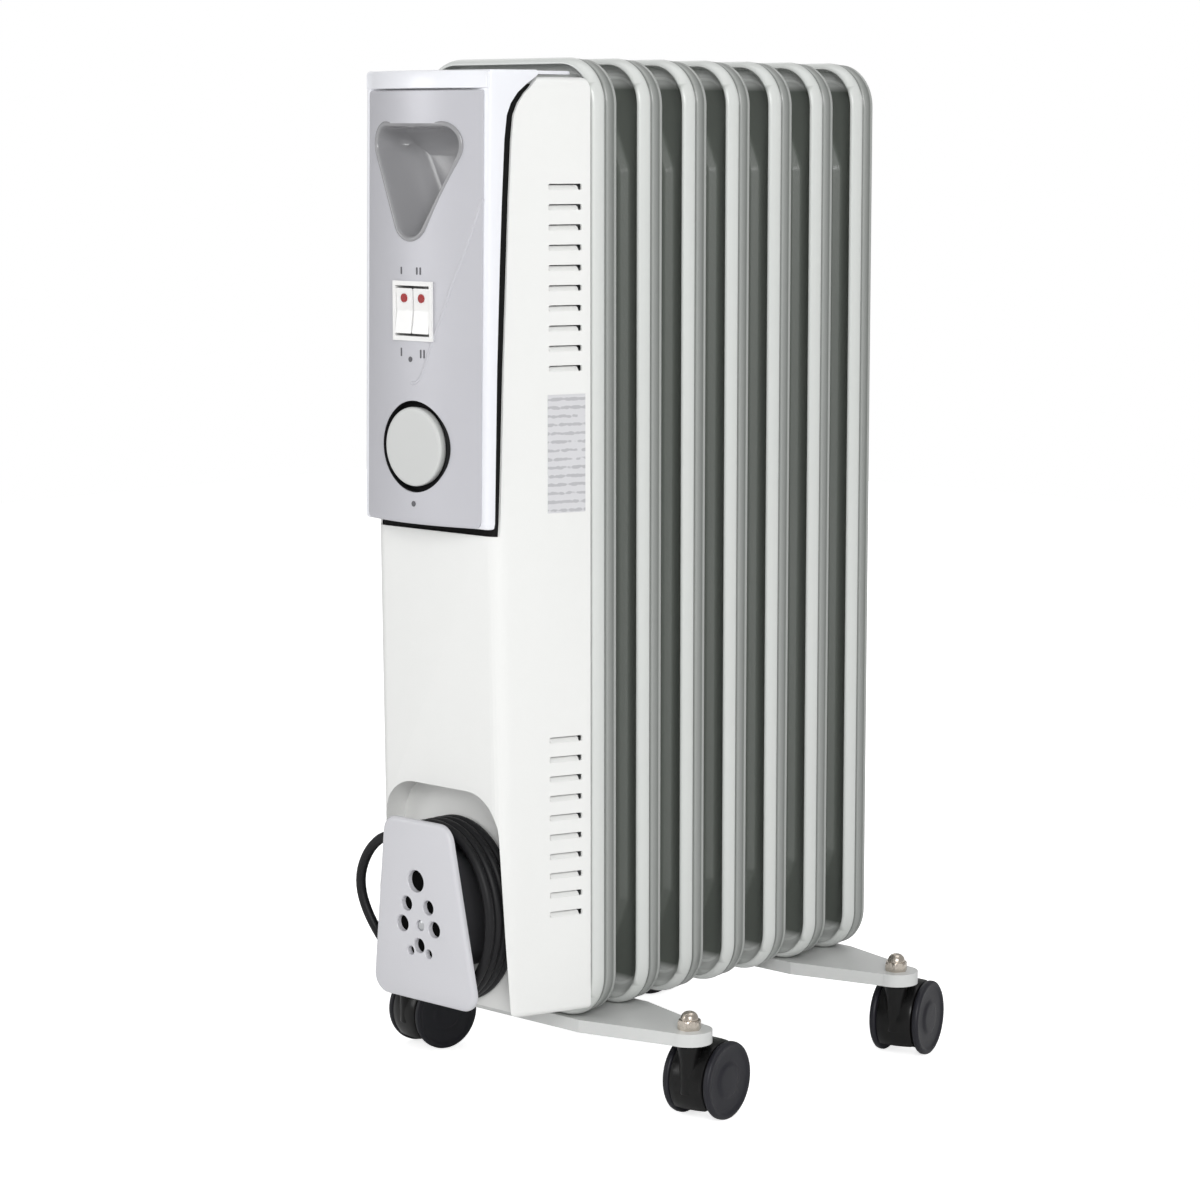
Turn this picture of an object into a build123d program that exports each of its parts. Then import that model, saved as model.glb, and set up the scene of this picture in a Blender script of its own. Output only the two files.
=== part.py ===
from build123d import *
import math
import os

# Oil filled radiator heater with seven pressed-steel fins, a control unit and cord wrap on the
# front end, and two cross brackets on swivel casters.
# Millimetres. +Z up, floor at Z = 0. X is the width, Y the length: the controls face -Y.
# The origin is the middle of the footprint.

# ---- Driving dimensions ----
FIN_COUNT = 7
FIN_PITCH = 40.0
FIN_WIDTH = 146.0
FIN_HEIGHT = 580.0
FIN_BOTTOM_Z = 58.0
FIN_CORNER_R = 28.0
FIN_1_Y = -88.0
SHEET = 0.7
RIM_REACH = 10.0
CHAMBER_DEPTH = 5.5
CHAMBER_HALF_WIDTH = 55.0
CHAMBER_MARGIN = 14.0
CHAMBER_SHOULDER = 52.0
CHAMBER_TAPER = 45.0
HEADER_R = 20.0
HEADER_INSET = 52.0

COVER_FRONT_Y = -160.0
COVER_REAR_Y = -99.5
COVER_FRONT_HALF = 51.0
COVER_REAR_HALF = 71.0
COVER_BOTTOM_Z = 67.0
COVER_TOP_Z = 626.0
COVER_WALL = 1.2
COVER_CORNER_R = 11.0
LOUVRE_COUNT = 10
LOUVRE_PITCH = 11.8
LOUVRE_LENGTH = 21.0
LOUVRE_HEIGHT = 3.6
LOUVRE_Y = -115.5
LOUVRE_START_Z = (126.5, 454.5)

HOUSING_FRONT_Y = -164.0
HOUSING_SIDE_REAR_Y = -157.0
HOUSING_BOTTOM_Z = 360.0
HOUSING_TOP_Z = 630.0
HOUSING_HALF = 52.0
HOUSING_WALL = 2.2
CONTROL_GAP = 5.0

FASCIA_HALF = 48.0
FASCIA_EDGE_Y = -165.5
FASCIA_CROWN = 10.5
FASCIA_WALL = 2.0
FASCIA_BOTTOM_Z = 364.0
FASCIA_TOP_Z = 619.0

GRIP_TOP_Z = 599.0
GRIP_APEX_Z = 520.0
GRIP_TOP_HALF = 42.0
GRIP_DEPTH = 28.0
GRIP_CORNER_R = 14.0

KNOB_Z = 410.0
KNOB_R = 23.5
KNOB_FRONT_Y = -178.0
KNOB_BACK_Y = -171.6
KNOB_WELL_R = 26.0
KNOB_WELL_FRONT_Y = -173.6
KNOB_WELL_FLOOR_Y = -170.6
SHAFT_R = 3.0
BUSH_R = 4.6

SWITCH_Z = 490.0
SWITCH_HALF_WIDTH = 16.5
SWITCH_HALF_HEIGHT = 17.5
SWITCH_FRONT_Y = -177.4
ROCKER_HALF_HEIGHT = 13.2
ROCKER_WIDTH = 13.4
ROCKER_OFFSET_X = 7.3
ROCKER_PIVOT_Y = -173.3

RECESS_FLOOR_Y = -139.0
RECESS_TOP_Z = 203.0
RECESS_TOP_HALF = 46.0
RECESS_BOTTOM_HALF = 70.0
HUB_HALF_WIDTH = 20.0
HUB_BOTTOM_Z = 92.0
HUB_TOP_Z = 166.0
PLATE_FRONT_Y = -178.0
PLATE_BACK_Y = -173.0
PLATE_BOTTOM_Z = 69.0
PLATE_TOP_Z = 184.0
PLATE_BOTTOM_HALF = 42.0
PLATE_TOP_HALF = 29.0

CORD_D = 6.2
COIL_CENTRE_Z = 126.0
COIL_HALF_WIDTH = 47.0
COIL_HALF_HEIGHT = 55.0
COIL_FRONT_Y = -164.5
COIL_BACK_Y = -139.2
PLUG_X = -94.0
PLUG_Z = 75.7
PLUG_Y = -88.0
PIN_R = 2.4
PIN_LENGTH = 19.0
PIN_SPACING = 19.0

BRACKET_Y = (-68.0, 132.0)
BRACKET_PLATE = 2.0
BRACKET_LIP = 8.0
BRACKET_HALF_DEPTH = 31.0
BRACKET_HALF_CENTRE = 60.0
BRACKET_TIP_R = 14.0
STEM_X = 123.0
STEM_R = 4.0

WHEEL_R = 24.0
CASTER_HALF_WIDTH = 17.0
CASTER_TRAIL = 19.0
AXLE_R = 3.0
RUNNING_GAP = 0.05
CASTER_YAW = {"front_right": 8.0, "front_left": -8.0, "rear_right": 16.0, "rear_left": -16.0}

# A plane clear of everything on the control side, used as the far end of cuts.
AHEAD_Y = -200.0

# ---- Derived positions ----
FIN_TOP_Z = FIN_BOTTOM_Z + FIN_HEIGHT
FIN_MID_Z = FIN_BOTTOM_Z + FIN_HEIGHT / 2
HEADER_Z = (FIN_BOTTOM_Z + HEADER_INSET, FIN_TOP_Z - HEADER_INSET)
PLATE_Z = FIN_BOTTOM_Z - BRACKET_PLATE

nodes = {}


def block(x0, x1, y0, y1, z0, z1):
    """A box given by its two corners."""
    return Pos((x0 + x1) / 2, (y0 + y1) / 2, (z0 + z1) / 2) * Box(x1 - x0, y1 - y0, z1 - z0)


def rod_y(x, z, radius, y0, y1):
    """A round bar along Y."""
    return Pos(x, (y0 + y1) / 2, z) * Rot(90, 0, 0) * Cylinder(radius, y1 - y0)


def rod_x(y, z, radius, x0, x1):
    """A round bar along X."""
    return Pos((x0 + x1) / 2, y, z) * Rot(0, 90, 0) * Cylinder(radius, x1 - x0)


def rod_z(x, y, radius, z0, z1):
    """A round bar along Z."""
    return Pos(x, y, (z0 + z1) / 2) * Cylinder(radius, z1 - z0)


def slab_y(sketch, y_front, y_back):
    """A flat outline drawn in X and Z, given thickness along Y."""
    return Pos(0, y_back, 0) * extrude(Plane.XZ * sketch, amount=y_back - y_front)


def tube_along(points, radius, radii):
    """A round section swept along straight runs joined by tangent arcs."""
    path = FilletPolyline(*points, radius=radii)
    return sweep(Plane(path @ 0, z_dir=path % 0) * Circle(radius), path=path), path


# ---- Fins: two pressed sheets each, seam welded back to back ----
def fin_outline(inset):
    width = FIN_WIDTH - 2 * inset
    height = FIN_HEIGHT - 2 * inset
    return Pos(0, FIN_MID_Z) * RectangleRounded(width, height, FIN_CORNER_R - inset)


def chamber_outline(inset):
    """Oil chamber seen from the end: straight sides that narrow towards both headers."""
    half = CHAMBER_HALF_WIDTH - inset
    neck = half - 22.0
    low = FIN_BOTTOM_Z + CHAMBER_MARGIN + inset
    high = FIN_TOP_Z - CHAMBER_MARGIN - inset
    right = [(neck, low), (half, low + CHAMBER_SHOULDER), (half, high - CHAMBER_SHOULDER), (neck, high)]
    left = [(-x, z) for x, z in reversed(right)]
    shape = make_face(Polyline(*right, *left, close=True))
    return fillet(shape.vertices(), radius=12.0 - inset)


def fin_sheet(opening_radii):
    """The front sheet of a fin at Y = 0: rim, web and chamber, with its openings at the two headers."""
    sheet = slab_y(fin_outline(0), -SHEET, 0)
    sheet += slab_y(fin_outline(0) - fin_outline(SHEET), -RIM_REACH, 0)
    sheet += extrude(Plane.XZ * chamber_outline(0), amount=CHAMBER_DEPTH, taper=CHAMBER_TAPER)
    sheet -= extrude(Plane.XZ * chamber_outline(SHEET), amount=CHAMBER_DEPTH - SHEET, taper=CHAMBER_TAPER)
    for z, radius in zip(HEADER_Z, opening_radii):
        if radius:
            sheet -= rod_y(0, z, radius, -CHAMBER_DEPTH - 1, 1)
    return sheet


ELEMENT_COLLAR = 14.0
FILLER_R = 6.0
SLEEVE_WALL = 1.0
SLEEVE_BORE_R = HEADER_R - SLEEVE_WALL
joined = fin_sheet((SLEEVE_BORE_R, SLEEVE_BORE_R))
joined_rear = mirror(joined, about=Plane.XZ)
first_front = fin_sheet((SLEEVE_BORE_R, 0))
last_rear = mirror(fin_sheet((FILLER_R, 0)), about=Plane.XZ)
for index in range(FIN_COUNT):
    front = first_front if index == 0 else joined
    rear = last_rear if index == FIN_COUNT - 1 else joined_rear
    place = Pos(0, FIN_1_Y + index * FIN_PITCH, 0)
    nodes[f"fin_{index + 1}"] = Compound(children=[place * front, place * rear])

# ---- Header sleeves, welded between the fins so that oil passes from chamber to chamber ----
def sleeve(z, y0, y1):
    """A short pipe of the header."""
    return rod_y(0, z, HEADER_R, y0, y1) - rod_y(0, z, SLEEVE_BORE_R, y0 - 1, y1 + 1)


sleeves = [sleeve(HEADER_Z[0], FIN_1_Y - ELEMENT_COLLAR, FIN_1_Y - CHAMBER_DEPTH)]
for index in range(FIN_COUNT - 1):
    gap_front_y = FIN_1_Y + index * FIN_PITCH + CHAMBER_DEPTH
    gap_rear_y = FIN_1_Y + (index + 1) * FIN_PITCH - CHAMBER_DEPTH
    sleeves += [sleeve(z, gap_front_y, gap_rear_y) for z in HEADER_Z]
nodes["header_sleeves"] = Compound(children=sleeves)

LAST_FIN_Y = FIN_1_Y + (FIN_COUNT - 1) * FIN_PITCH
filler_seat_y = LAST_FIN_Y + CHAMBER_DEPTH
filler = rod_y(0, HEADER_Z[0], FILLER_R - 0.1, LAST_FIN_Y + 2, filler_seat_y)
filler += slab_y(Pos(0, HEADER_Z[0]) * RegularPolygon(8.0, 6), filler_seat_y, filler_seat_y + 4)
nodes["filler_plug"] = filler

# ---- Heating element in the bottom header ----
TUBE_R = 3.9
HAIRPIN_HALF = 8.0
HAIRPIN_RISE = 7.0
ELEMENT_END_Y = 122.0
collar_face_y = FIN_1_Y - ELEMENT_COLLAR
gasket_front_y = collar_face_y - 2.0
flange_front_y = gasket_front_y - 6.0
hairpins = []
for side in (-1, 1):
    z = HEADER_Z[0] + side * HAIRPIN_RISE
    start = Vector(-HAIRPIN_HALF, gasket_front_y, z)
    bend_in = Vector(-HAIRPIN_HALF, ELEMENT_END_Y, z)
    bend_top = Vector(0, ELEMENT_END_Y + HAIRPIN_HALF, z)
    bend_out = Vector(HAIRPIN_HALF, ELEMENT_END_Y, z)
    end = Vector(HAIRPIN_HALF, gasket_front_y, z)
    route = Line(start, bend_in) + ThreePointArc(bend_in, bend_top, bend_out) + Line(bend_out, end)
    hairpins.append(sweep(Plane(start, z_dir=(0, 1, 0)) * Circle(TUBE_R), path=route))
nodes["element_tubes"] = Compound(children=hairpins)
gasket = rod_y(0, HEADER_Z[0], HEADER_R, gasket_front_y, collar_face_y)
gasket -= rod_y(0, HEADER_Z[0], HEADER_R - 4, gasket_front_y - 1, collar_face_y + 1)
nodes["element_gasket"] = gasket
TERMINAL_R = 2.0
TERMINAL_LENGTH = 11.0
element_flange = rod_y(0, HEADER_Z[0], HEADER_R + 1, flange_front_y, gasket_front_y)
for side_x in (-1, 1):
    for side_z in (-1, 1):
        x = side_x * HAIRPIN_HALF
        z = HEADER_Z[0] + side_z * HAIRPIN_RISE
        element_flange += rod_y(x, z, TERMINAL_R + 1.5, flange_front_y - 4, flange_front_y)
        element_flange += rod_y(x, z, TERMINAL_R, flange_front_y - TERMINAL_LENGTH, flange_front_y)
nodes["element_flange"] = element_flange

# ---- Heat shield: folded steel channel on studs welded to the first fin ----
SHIELD_FRONT_Y = -113.0
SHIELD_HALF = 56.0
SHIELD_BOTTOM_Z = 76.0
SHIELD_TOP_Z = 608.0
SHIELD_STEEL = 1.0
EAR_Y = -99.0
EAR_HALF = 68.0
STUD_X = 63.0
STUD_Z = (96.0, 590.0)
FLANGE_DEPTH = 18.0
SCREW_X = 36.0
SCREW_Y = -122.0
SCREW_HOLE_R = 2.1
SHIELD_FLANGE_HALF = 46.0
shield = block(-SHIELD_HALF, SHIELD_HALF, SHIELD_FRONT_Y, SHIELD_FRONT_Y + SHIELD_STEEL,
               SHIELD_BOTTOM_Z, SHIELD_TOP_Z)
for side in (-1, 1):
    inner, outer = sorted((side * (SHIELD_HALF - SHIELD_STEEL), side * SHIELD_HALF))
    shield += block(inner, outer, SHIELD_FRONT_Y, EAR_Y + SHIELD_STEEL, SHIELD_BOTTOM_Z, SHIELD_TOP_Z)
    inner, outer = sorted((side * (SHIELD_HALF - SHIELD_STEEL), side * EAR_HALF))
    shield += block(inner, outer, EAR_Y, EAR_Y + SHIELD_STEEL, SHIELD_BOTTOM_Z, SHIELD_TOP_Z)
for z in (SHIELD_BOTTOM_Z, SHIELD_TOP_Z - SHIELD_STEEL):
    shield += block(-SHIELD_FLANGE_HALF, SHIELD_FLANGE_HALF,
                    SHIELD_FRONT_Y - FLANGE_DEPTH, SHIELD_FRONT_Y + SHIELD_STEEL, z, z + SHIELD_STEEL)
    for side in (-1, 1):
        shield -= rod_z(side * SCREW_X, SCREW_Y, SCREW_HOLE_R, z - 1, z + 2)
shield -= rod_y(0, HEADER_Z[0], HEADER_R + 4, SHIELD_FRONT_Y - 1, SHIELD_FRONT_Y + 2)
nodes["heat_shield"] = shield
studs = [
    rod_y(side * STUD_X, z, 3.0, EAR_Y + SHIELD_STEEL, FIN_1_Y - SHEET)
    for side in (-1, 1)
    for z in STUD_Z
]
nodes["shield_studs"] = Compound(children=studs)


# ---- Painted end cover ----
def cover_plan(inset, front_y, rear_y):
    """Plan of the cover: narrow at the front, flaring to the width of the fins."""
    def half_at(y):
        share = (y - COVER_FRONT_Y) / (COVER_REAR_Y - COVER_FRONT_Y)
        return COVER_FRONT_HALF + share * (COVER_REAR_HALF - COVER_FRONT_HALF) - inset
    corners = [(-half_at(front_y), front_y), (half_at(front_y), front_y)]
    corners += [(half_at(rear_y), rear_y), (-half_at(rear_y), rear_y)]
    shape = make_face(Polyline(*corners, close=True))
    return fillet(shape.vertices().sort_by(Axis.Y)[:2], radius=COVER_CORNER_R - inset)


SIDE_EDGE_X = 52.0
TOP_BEVEL = 6.0


def recess_outline(outset):
    """Arched step at the bottom of the cover that the cord wrap stands in."""
    low = COVER_BOTTOM_Z - 10
    high = RECESS_TOP_Z + outset
    low_half = RECESS_BOTTOM_HALF + outset
    high_half = RECESS_TOP_HALF + outset
    corners = [(-low_half, low), (low_half, low), (high_half, high), (-high_half, high)]
    shape = make_face(Polyline(*corners, close=True))
    return fillet(shape.vertices().sort_by(Axis.Y)[2:], radius=26.0)


def cover_block(inset):
    """The cover as a solid block, offset inwards, with the recess stepped out of its foot."""
    low = COVER_BOTTOM_Z + inset
    height = COVER_TOP_Z - COVER_BOTTOM_Z - 2 * inset
    rear_y = COVER_REAR_Y + (5 if inset else 0)
    shape = Pos(0, 0, low) * extrude(cover_plan(inset, COVER_FRONT_Y + inset, rear_y), height)
    top_edges = [edge for edge in shape.edges().group_by(Axis.Z)[-1] if abs(edge.center().X) > SIDE_EDGE_X]
    shape = chamfer(top_edges, length=TOP_BEVEL)
    core = Pos(0, 0, low - 5) * extrude(cover_plan(inset, RECESS_FLOOR_Y + inset, rear_y), 200)
    step = slab_y(recess_outline(inset), COVER_FRONT_Y - 10, COVER_REAR_Y - 10)
    return shape - (step - core)


cover = cover_block(0) - cover_block(COVER_WALL)
control_cut_y = HOUSING_SIDE_REAR_Y + CONTROL_GAP
cover -= block(-90, 90, -200, control_cut_y, HOUSING_BOTTOM_Z - CONTROL_GAP, 700)
for start_z in LOUVRE_START_Z:
    for index in range(LOUVRE_COUNT):
        z = start_z + index * LOUVRE_PITCH
        half = LOUVRE_LENGTH / 2
        cover -= block(-90, 90, LOUVRE_Y - half, LOUVRE_Y + half, z, z + LOUVRE_HEIGHT)
for side in (-1, 1):
    cover -= rod_z(side * SCREW_X, SCREW_Y, SCREW_HOLE_R, 50, 700)
cover -= block(-30, 30, SHIELD_FRONT_Y - 20, COVER_REAR_Y + 10, COVER_BOTTOM_Z - 1, COVER_BOTTOM_Z + 2)
nodes["end_cover"] = cover

SCREW_SHANK_R = 1.9
SCREW_HEAD_R = 3.8
SCREW_HEAD = 2.0
screws = []
for side in (-1, 1):
    x = side * SCREW_X
    low = rod_z(x, SCREW_Y, SCREW_SHANK_R, COVER_BOTTOM_Z, SHIELD_BOTTOM_Z + 4)
    low += rod_z(x, SCREW_Y, SCREW_HEAD_R, COVER_BOTTOM_Z - SCREW_HEAD, COVER_BOTTOM_Z)
    high = rod_z(x, SCREW_Y, SCREW_SHANK_R, SHIELD_TOP_Z - 4, COVER_TOP_Z)
    high += rod_z(x, SCREW_Y, SCREW_HEAD_R, COVER_TOP_Z, COVER_TOP_Z + 1.4)
    screws += [low, high]
nodes["cover_screws"] = Compound(children=screws)

LABEL_Y = -115.0
LABEL_Z = 406.0
LABEL_WIDTH = 25.0
LABEL_HEIGHT = 70.0
LABEL_THICKNESS = 0.3
side_slope = math.atan2(COVER_REAR_HALF - COVER_FRONT_HALF, COVER_REAR_Y - COVER_FRONT_Y)
label_x = COVER_FRONT_HALF + (LABEL_Y - COVER_FRONT_Y) * math.tan(side_slope)
label_place = Pos(label_x, LABEL_Y, LABEL_Z) * Rot(0, 0, -math.degrees(side_slope))
label = Pos(LABEL_THICKNESS / 2 + 0.02, 0, 0) * Box(LABEL_THICKNESS, LABEL_WIDTH, LABEL_HEIGHT)
nodes["rating_label"] = label_place * label

# ---- Control unit: housing, fascia, grip ----
HOUSING_REAR_HALF = HOUSING_HALF + 2.4
CAP_REAR_HALF = HOUSING_HALF + 6.0
CAP_UNDERSIDE_Z = COVER_TOP_Z + 1.5
TAIL_REACH = 3.0
WINDOW_HALF = 42.0
WINDOW_MARGIN = 6.0
housing_plan = make_face(Polyline(
    (-HOUSING_HALF, HOUSING_FRONT_Y), (HOUSING_HALF, HOUSING_FRONT_Y),
    (HOUSING_REAR_HALF, HOUSING_SIDE_REAR_Y), (-HOUSING_REAR_HALF, HOUSING_SIDE_REAR_Y), close=True))
housing_plan = fillet(housing_plan.vertices().sort_by(Axis.Y)[:2], radius=4.0)
housing = Pos(0, 0, HOUSING_BOTTOM_Z) * extrude(housing_plan, HOUSING_TOP_Z - HOUSING_BOTTOM_Z)
housing -= block(
    -HOUSING_HALF + HOUSING_WALL, HOUSING_HALF - HOUSING_WALL,
    HOUSING_FRONT_Y + HOUSING_WALL, HOUSING_SIDE_REAR_Y + 1,
    HOUSING_BOTTOM_Z + HOUSING_WALL, HOUSING_TOP_Z - HOUSING_WALL)
cap_plan = make_face(Polyline(
    (-HOUSING_REAR_HALF, HOUSING_SIDE_REAR_Y), (HOUSING_REAR_HALF, HOUSING_SIDE_REAR_Y),
    (CAP_REAR_HALF, COVER_REAR_Y), (-CAP_REAR_HALF, COVER_REAR_Y), close=True))
housing += Pos(0, 0, CAP_UNDERSIDE_Z) * extrude(cap_plan, HOUSING_TOP_Z - CAP_UNDERSIDE_Z)
housing -= block(-WINDOW_HALF, WINDOW_HALF, HOUSING_FRONT_Y - 1, HOUSING_FRONT_Y + 5,
                 FASCIA_BOTTOM_Z + WINDOW_MARGIN, FASCIA_TOP_Z - WINDOW_MARGIN)
housing += block(-HOUSING_HALF + TAIL_REACH, HOUSING_HALF - TAIL_REACH,
                 HOUSING_SIDE_REAR_Y, control_cut_y + TAIL_REACH,
                 HOUSING_BOTTOM_Z, HOUSING_BOTTOM_Z + HOUSING_WALL)
nodes["control_housing"] = housing

fascia_r = (FASCIA_HALF ** 2 + FASCIA_CROWN ** 2) / (2 * FASCIA_CROWN)
fascia_axis_y = FASCIA_EDGE_Y - FASCIA_CROWN + fascia_r
fascia = rod_z(0, fascia_axis_y, fascia_r, FASCIA_BOTTOM_Z, FASCIA_TOP_Z)
fascia -= rod_z(0, fascia_axis_y, fascia_r - FASCIA_WALL, FASCIA_BOTTOM_Z - 1, FASCIA_TOP_Z + 1)
fascia &= block(-FASCIA_HALF, FASCIA_HALF, AHEAD_Y, HOUSING_FRONT_Y, FASCIA_BOTTOM_Z, FASCIA_TOP_Z)


def grip_outline(inset):
    """Rounded triangle of the hand recess, wide at the top."""
    corners = [(-GRIP_TOP_HALF, GRIP_TOP_Z), (0, GRIP_APEX_Z), (GRIP_TOP_HALF, GRIP_TOP_Z)]
    shape = fillet(make_face(Polyline(*corners, close=True)).vertices(), radius=GRIP_CORNER_R)
    return offset(shape, amount=-inset) if inset else shape


GRIP_WALL = 1.6
GRIP_FRONT_Y = -174.0
fascia -= slab_y(grip_outline(0), AHEAD_Y, HOUSING_FRONT_Y + 1)
fascia -= block(-SWITCH_HALF_WIDTH + 1, SWITCH_HALF_WIDTH - 1, AHEAD_Y, HOUSING_FRONT_Y + 1,
                SWITCH_Z - SWITCH_HALF_HEIGHT + 1, SWITCH_Z + SWITCH_HALF_HEIGHT - 1)
# The knob sits in a round well in the fascia.
fascia -= rod_y(0, KNOB_Z, KNOB_WELL_R, AHEAD_Y, HOUSING_FRONT_Y + 1)
fascia += rod_y(0, KNOB_Z, KNOB_WELL_R + FASCIA_WALL, KNOB_WELL_FRONT_Y, KNOB_WELL_FLOOR_Y + FASCIA_WALL)
fascia -= rod_y(0, KNOB_Z, KNOB_WELL_R, AHEAD_Y, KNOB_WELL_FLOOR_Y)
fascia -= rod_y(0, KNOB_Z, BUSH_R + 0.4, AHEAD_Y, HOUSING_FRONT_Y + 1)
nodes["fascia"] = fascia

grip = slab_y(grip_outline(GRIP_WALL * 4), GRIP_FRONT_Y, GRIP_FRONT_Y + GRIP_DEPTH)
grip_hollow = slab_y(grip_outline(GRIP_WALL * 5), AHEAD_Y, GRIP_FRONT_Y + GRIP_DEPTH - GRIP_WALL)
grip_rim = slab_y(grip_outline(0.3), GRIP_FRONT_Y, GRIP_FRONT_Y + 3)
nodes["grip_cup"] = (grip + grip_rim) - grip_hollow

# ---- Thermostat and its knob ----
THERMOSTAT_HALF = 17.0
THERMOSTAT_FRONT_Y = -160.0
THERMOSTAT_DEPTH = 18.0
BUSH_FRONT_Y = -169.0
SHAFT_FRONT_Y = -175.0
SHAFT_BACK_Y = -149.0
KNOB_SKIRT = 1.2
thermostat = block(-THERMOSTAT_HALF, THERMOSTAT_HALF,
                   THERMOSTAT_FRONT_Y, THERMOSTAT_FRONT_Y + THERMOSTAT_DEPTH,
                   KNOB_Z - THERMOSTAT_HALF, KNOB_Z + THERMOSTAT_HALF)
thermostat += rod_y(0, KNOB_Z, BUSH_R, BUSH_FRONT_Y, THERMOSTAT_FRONT_Y)
thermostat -= rod_y(0, KNOB_Z, SHAFT_R + RUNNING_GAP, BUSH_FRONT_Y - 1, SHAFT_BACK_Y + 1)
nodes["thermostat_body"] = thermostat
nodes["thermostat_shaft"] = rod_y(0, KNOB_Z, SHAFT_R, SHAFT_FRONT_Y, SHAFT_BACK_Y)
knob = rod_y(0, KNOB_Z, KNOB_R, KNOB_FRONT_Y, KNOB_BACK_Y)
knob = chamfer(knob.edges().sort_by(Axis.Y)[0], length=KNOB_SKIRT)
knob -= rod_y(0, KNOB_Z, SHAFT_R, SHAFT_FRONT_Y, KNOB_BACK_Y + 1)
nodes["thermostat_knob"] = knob

# ---- Twin rocker switch ----
FLANGE = 1.5
WELL_BACK_Y = -162.0
SWITCH_BACK_Y = -150.0
WELL_HALF_WIDTH = 14.4
WELL_HALF_HEIGHT = 14.8
PIVOT_R = 1.5
switch = block(-SWITCH_HALF_WIDTH, SWITCH_HALF_WIDTH, SWITCH_FRONT_Y, SWITCH_FRONT_Y + FLANGE,
               SWITCH_Z - SWITCH_HALF_HEIGHT, SWITCH_Z + SWITCH_HALF_HEIGHT)
switch += block(-SWITCH_HALF_WIDTH + 1.3, SWITCH_HALF_WIDTH - 1.3, SWITCH_FRONT_Y + FLANGE, SWITCH_BACK_Y,
                SWITCH_Z - SWITCH_HALF_HEIGHT + 1.3, SWITCH_Z + SWITCH_HALF_HEIGHT - 1.3)
switch -= block(-WELL_HALF_WIDTH, WELL_HALF_WIDTH, SWITCH_FRONT_Y - 1, WELL_BACK_Y,
                SWITCH_Z - WELL_HALF_HEIGHT, SWITCH_Z + WELL_HALF_HEIGHT)
switch -= rod_x(ROCKER_PIVOT_Y, SWITCH_Z, PIVOT_R + RUNNING_GAP, -SWITCH_HALF_WIDTH, SWITCH_HALF_WIDTH)
nodes["switch_frame"] = switch


ROCKER_BACK_Y = -170.3
ROCKER_BACK_HALF = 9.0


def rocker_profile():
    """Side profile of a rocker in Y and Z: two flats that meet at a shallow valley."""
    low_edge = (SWITCH_FRONT_Y - 0.6, SWITCH_Z - ROCKER_HALF_HEIGHT)
    valley = (SWITCH_FRONT_Y + 1.2, SWITCH_Z)
    high_edge = (SWITCH_FRONT_Y + 0.6, SWITCH_Z + ROCKER_HALF_HEIGHT)
    back_low = (ROCKER_BACK_Y, SWITCH_Z - ROCKER_BACK_HALF)
    back_high = (ROCKER_BACK_Y, SWITCH_Z + ROCKER_BACK_HALF)
    return make_face(Polyline(low_edge, valley, high_edge, back_high, back_low, close=True))


LENS_Z = SWITCH_Z + 7.5
LENS_R = 2.6
LENS_FRONT_Y = SWITCH_FRONT_Y + 0.3
LENS_BACK_Y = SWITCH_FRONT_Y + 3.4
PIVOT_END_X = 15.1
for side, name in ((-1, "left"), (1, "right")):
    x = side * ROCKER_OFFSET_X
    body = Pos(x - ROCKER_WIDTH / 2, 0, 0) * extrude(Plane.YZ * rocker_profile(), amount=ROCKER_WIDTH)
    body -= rod_y(x, LENS_Z, LENS_R, AHEAD_Y, LENS_BACK_Y)
    inner, outer = sorted((x, side * PIVOT_END_X))
    body += rod_x(ROCKER_PIVOT_Y, SWITCH_Z, PIVOT_R, inner, outer)
    nodes[f"rocker_{name}"] = body
    nodes[f"neon_lens_{name}"] = rod_y(x, LENS_Z, LENS_R, LENS_FRONT_Y, LENS_BACK_Y)

# ---- Electrical parts inside the end cover ----
CUTOUT_Z = 272.0
CUTOUT_HALF = 10.0
CUTOUT_DEPTH = 9.0
CUTOUT_DISC_R = 7.0
TERMINAL_BLOCK_Z = 223.0
TERMINAL_BLOCK_HALF = 22.0
TERMINAL_BLOCK_DEPTH = 14.0
TERMINAL_BLOCK_RISE = 9.0
TERMINAL_WELL_X = (-15, -5, 5, 15)
TERMINAL_WELL_R = 2.5
TERMINAL_WELL_DEPTH = 8.0
cutout_front_y = SHIELD_FRONT_Y - CUTOUT_DEPTH
cutout = block(-CUTOUT_HALF, CUTOUT_HALF, cutout_front_y, SHIELD_FRONT_Y,
               CUTOUT_Z - CUTOUT_HALF, CUTOUT_Z + CUTOUT_HALF)
cutout += rod_y(0, CUTOUT_Z, CUTOUT_DISC_R, cutout_front_y - 4, cutout_front_y)
nodes["thermal_cutout"] = cutout
terminal_front_y = SHIELD_FRONT_Y - TERMINAL_BLOCK_DEPTH
terminal_block = block(-TERMINAL_BLOCK_HALF, TERMINAL_BLOCK_HALF, terminal_front_y, SHIELD_FRONT_Y,
                       TERMINAL_BLOCK_Z - TERMINAL_BLOCK_RISE, TERMINAL_BLOCK_Z + TERMINAL_BLOCK_RISE)
for x in TERMINAL_WELL_X:
    terminal_block -= rod_y(x, TERMINAL_BLOCK_Z, TERMINAL_WELL_R,
                            terminal_front_y - 1, terminal_front_y + TERMINAL_WELL_DEPTH)
nodes["terminal_block"] = terminal_block
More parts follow.
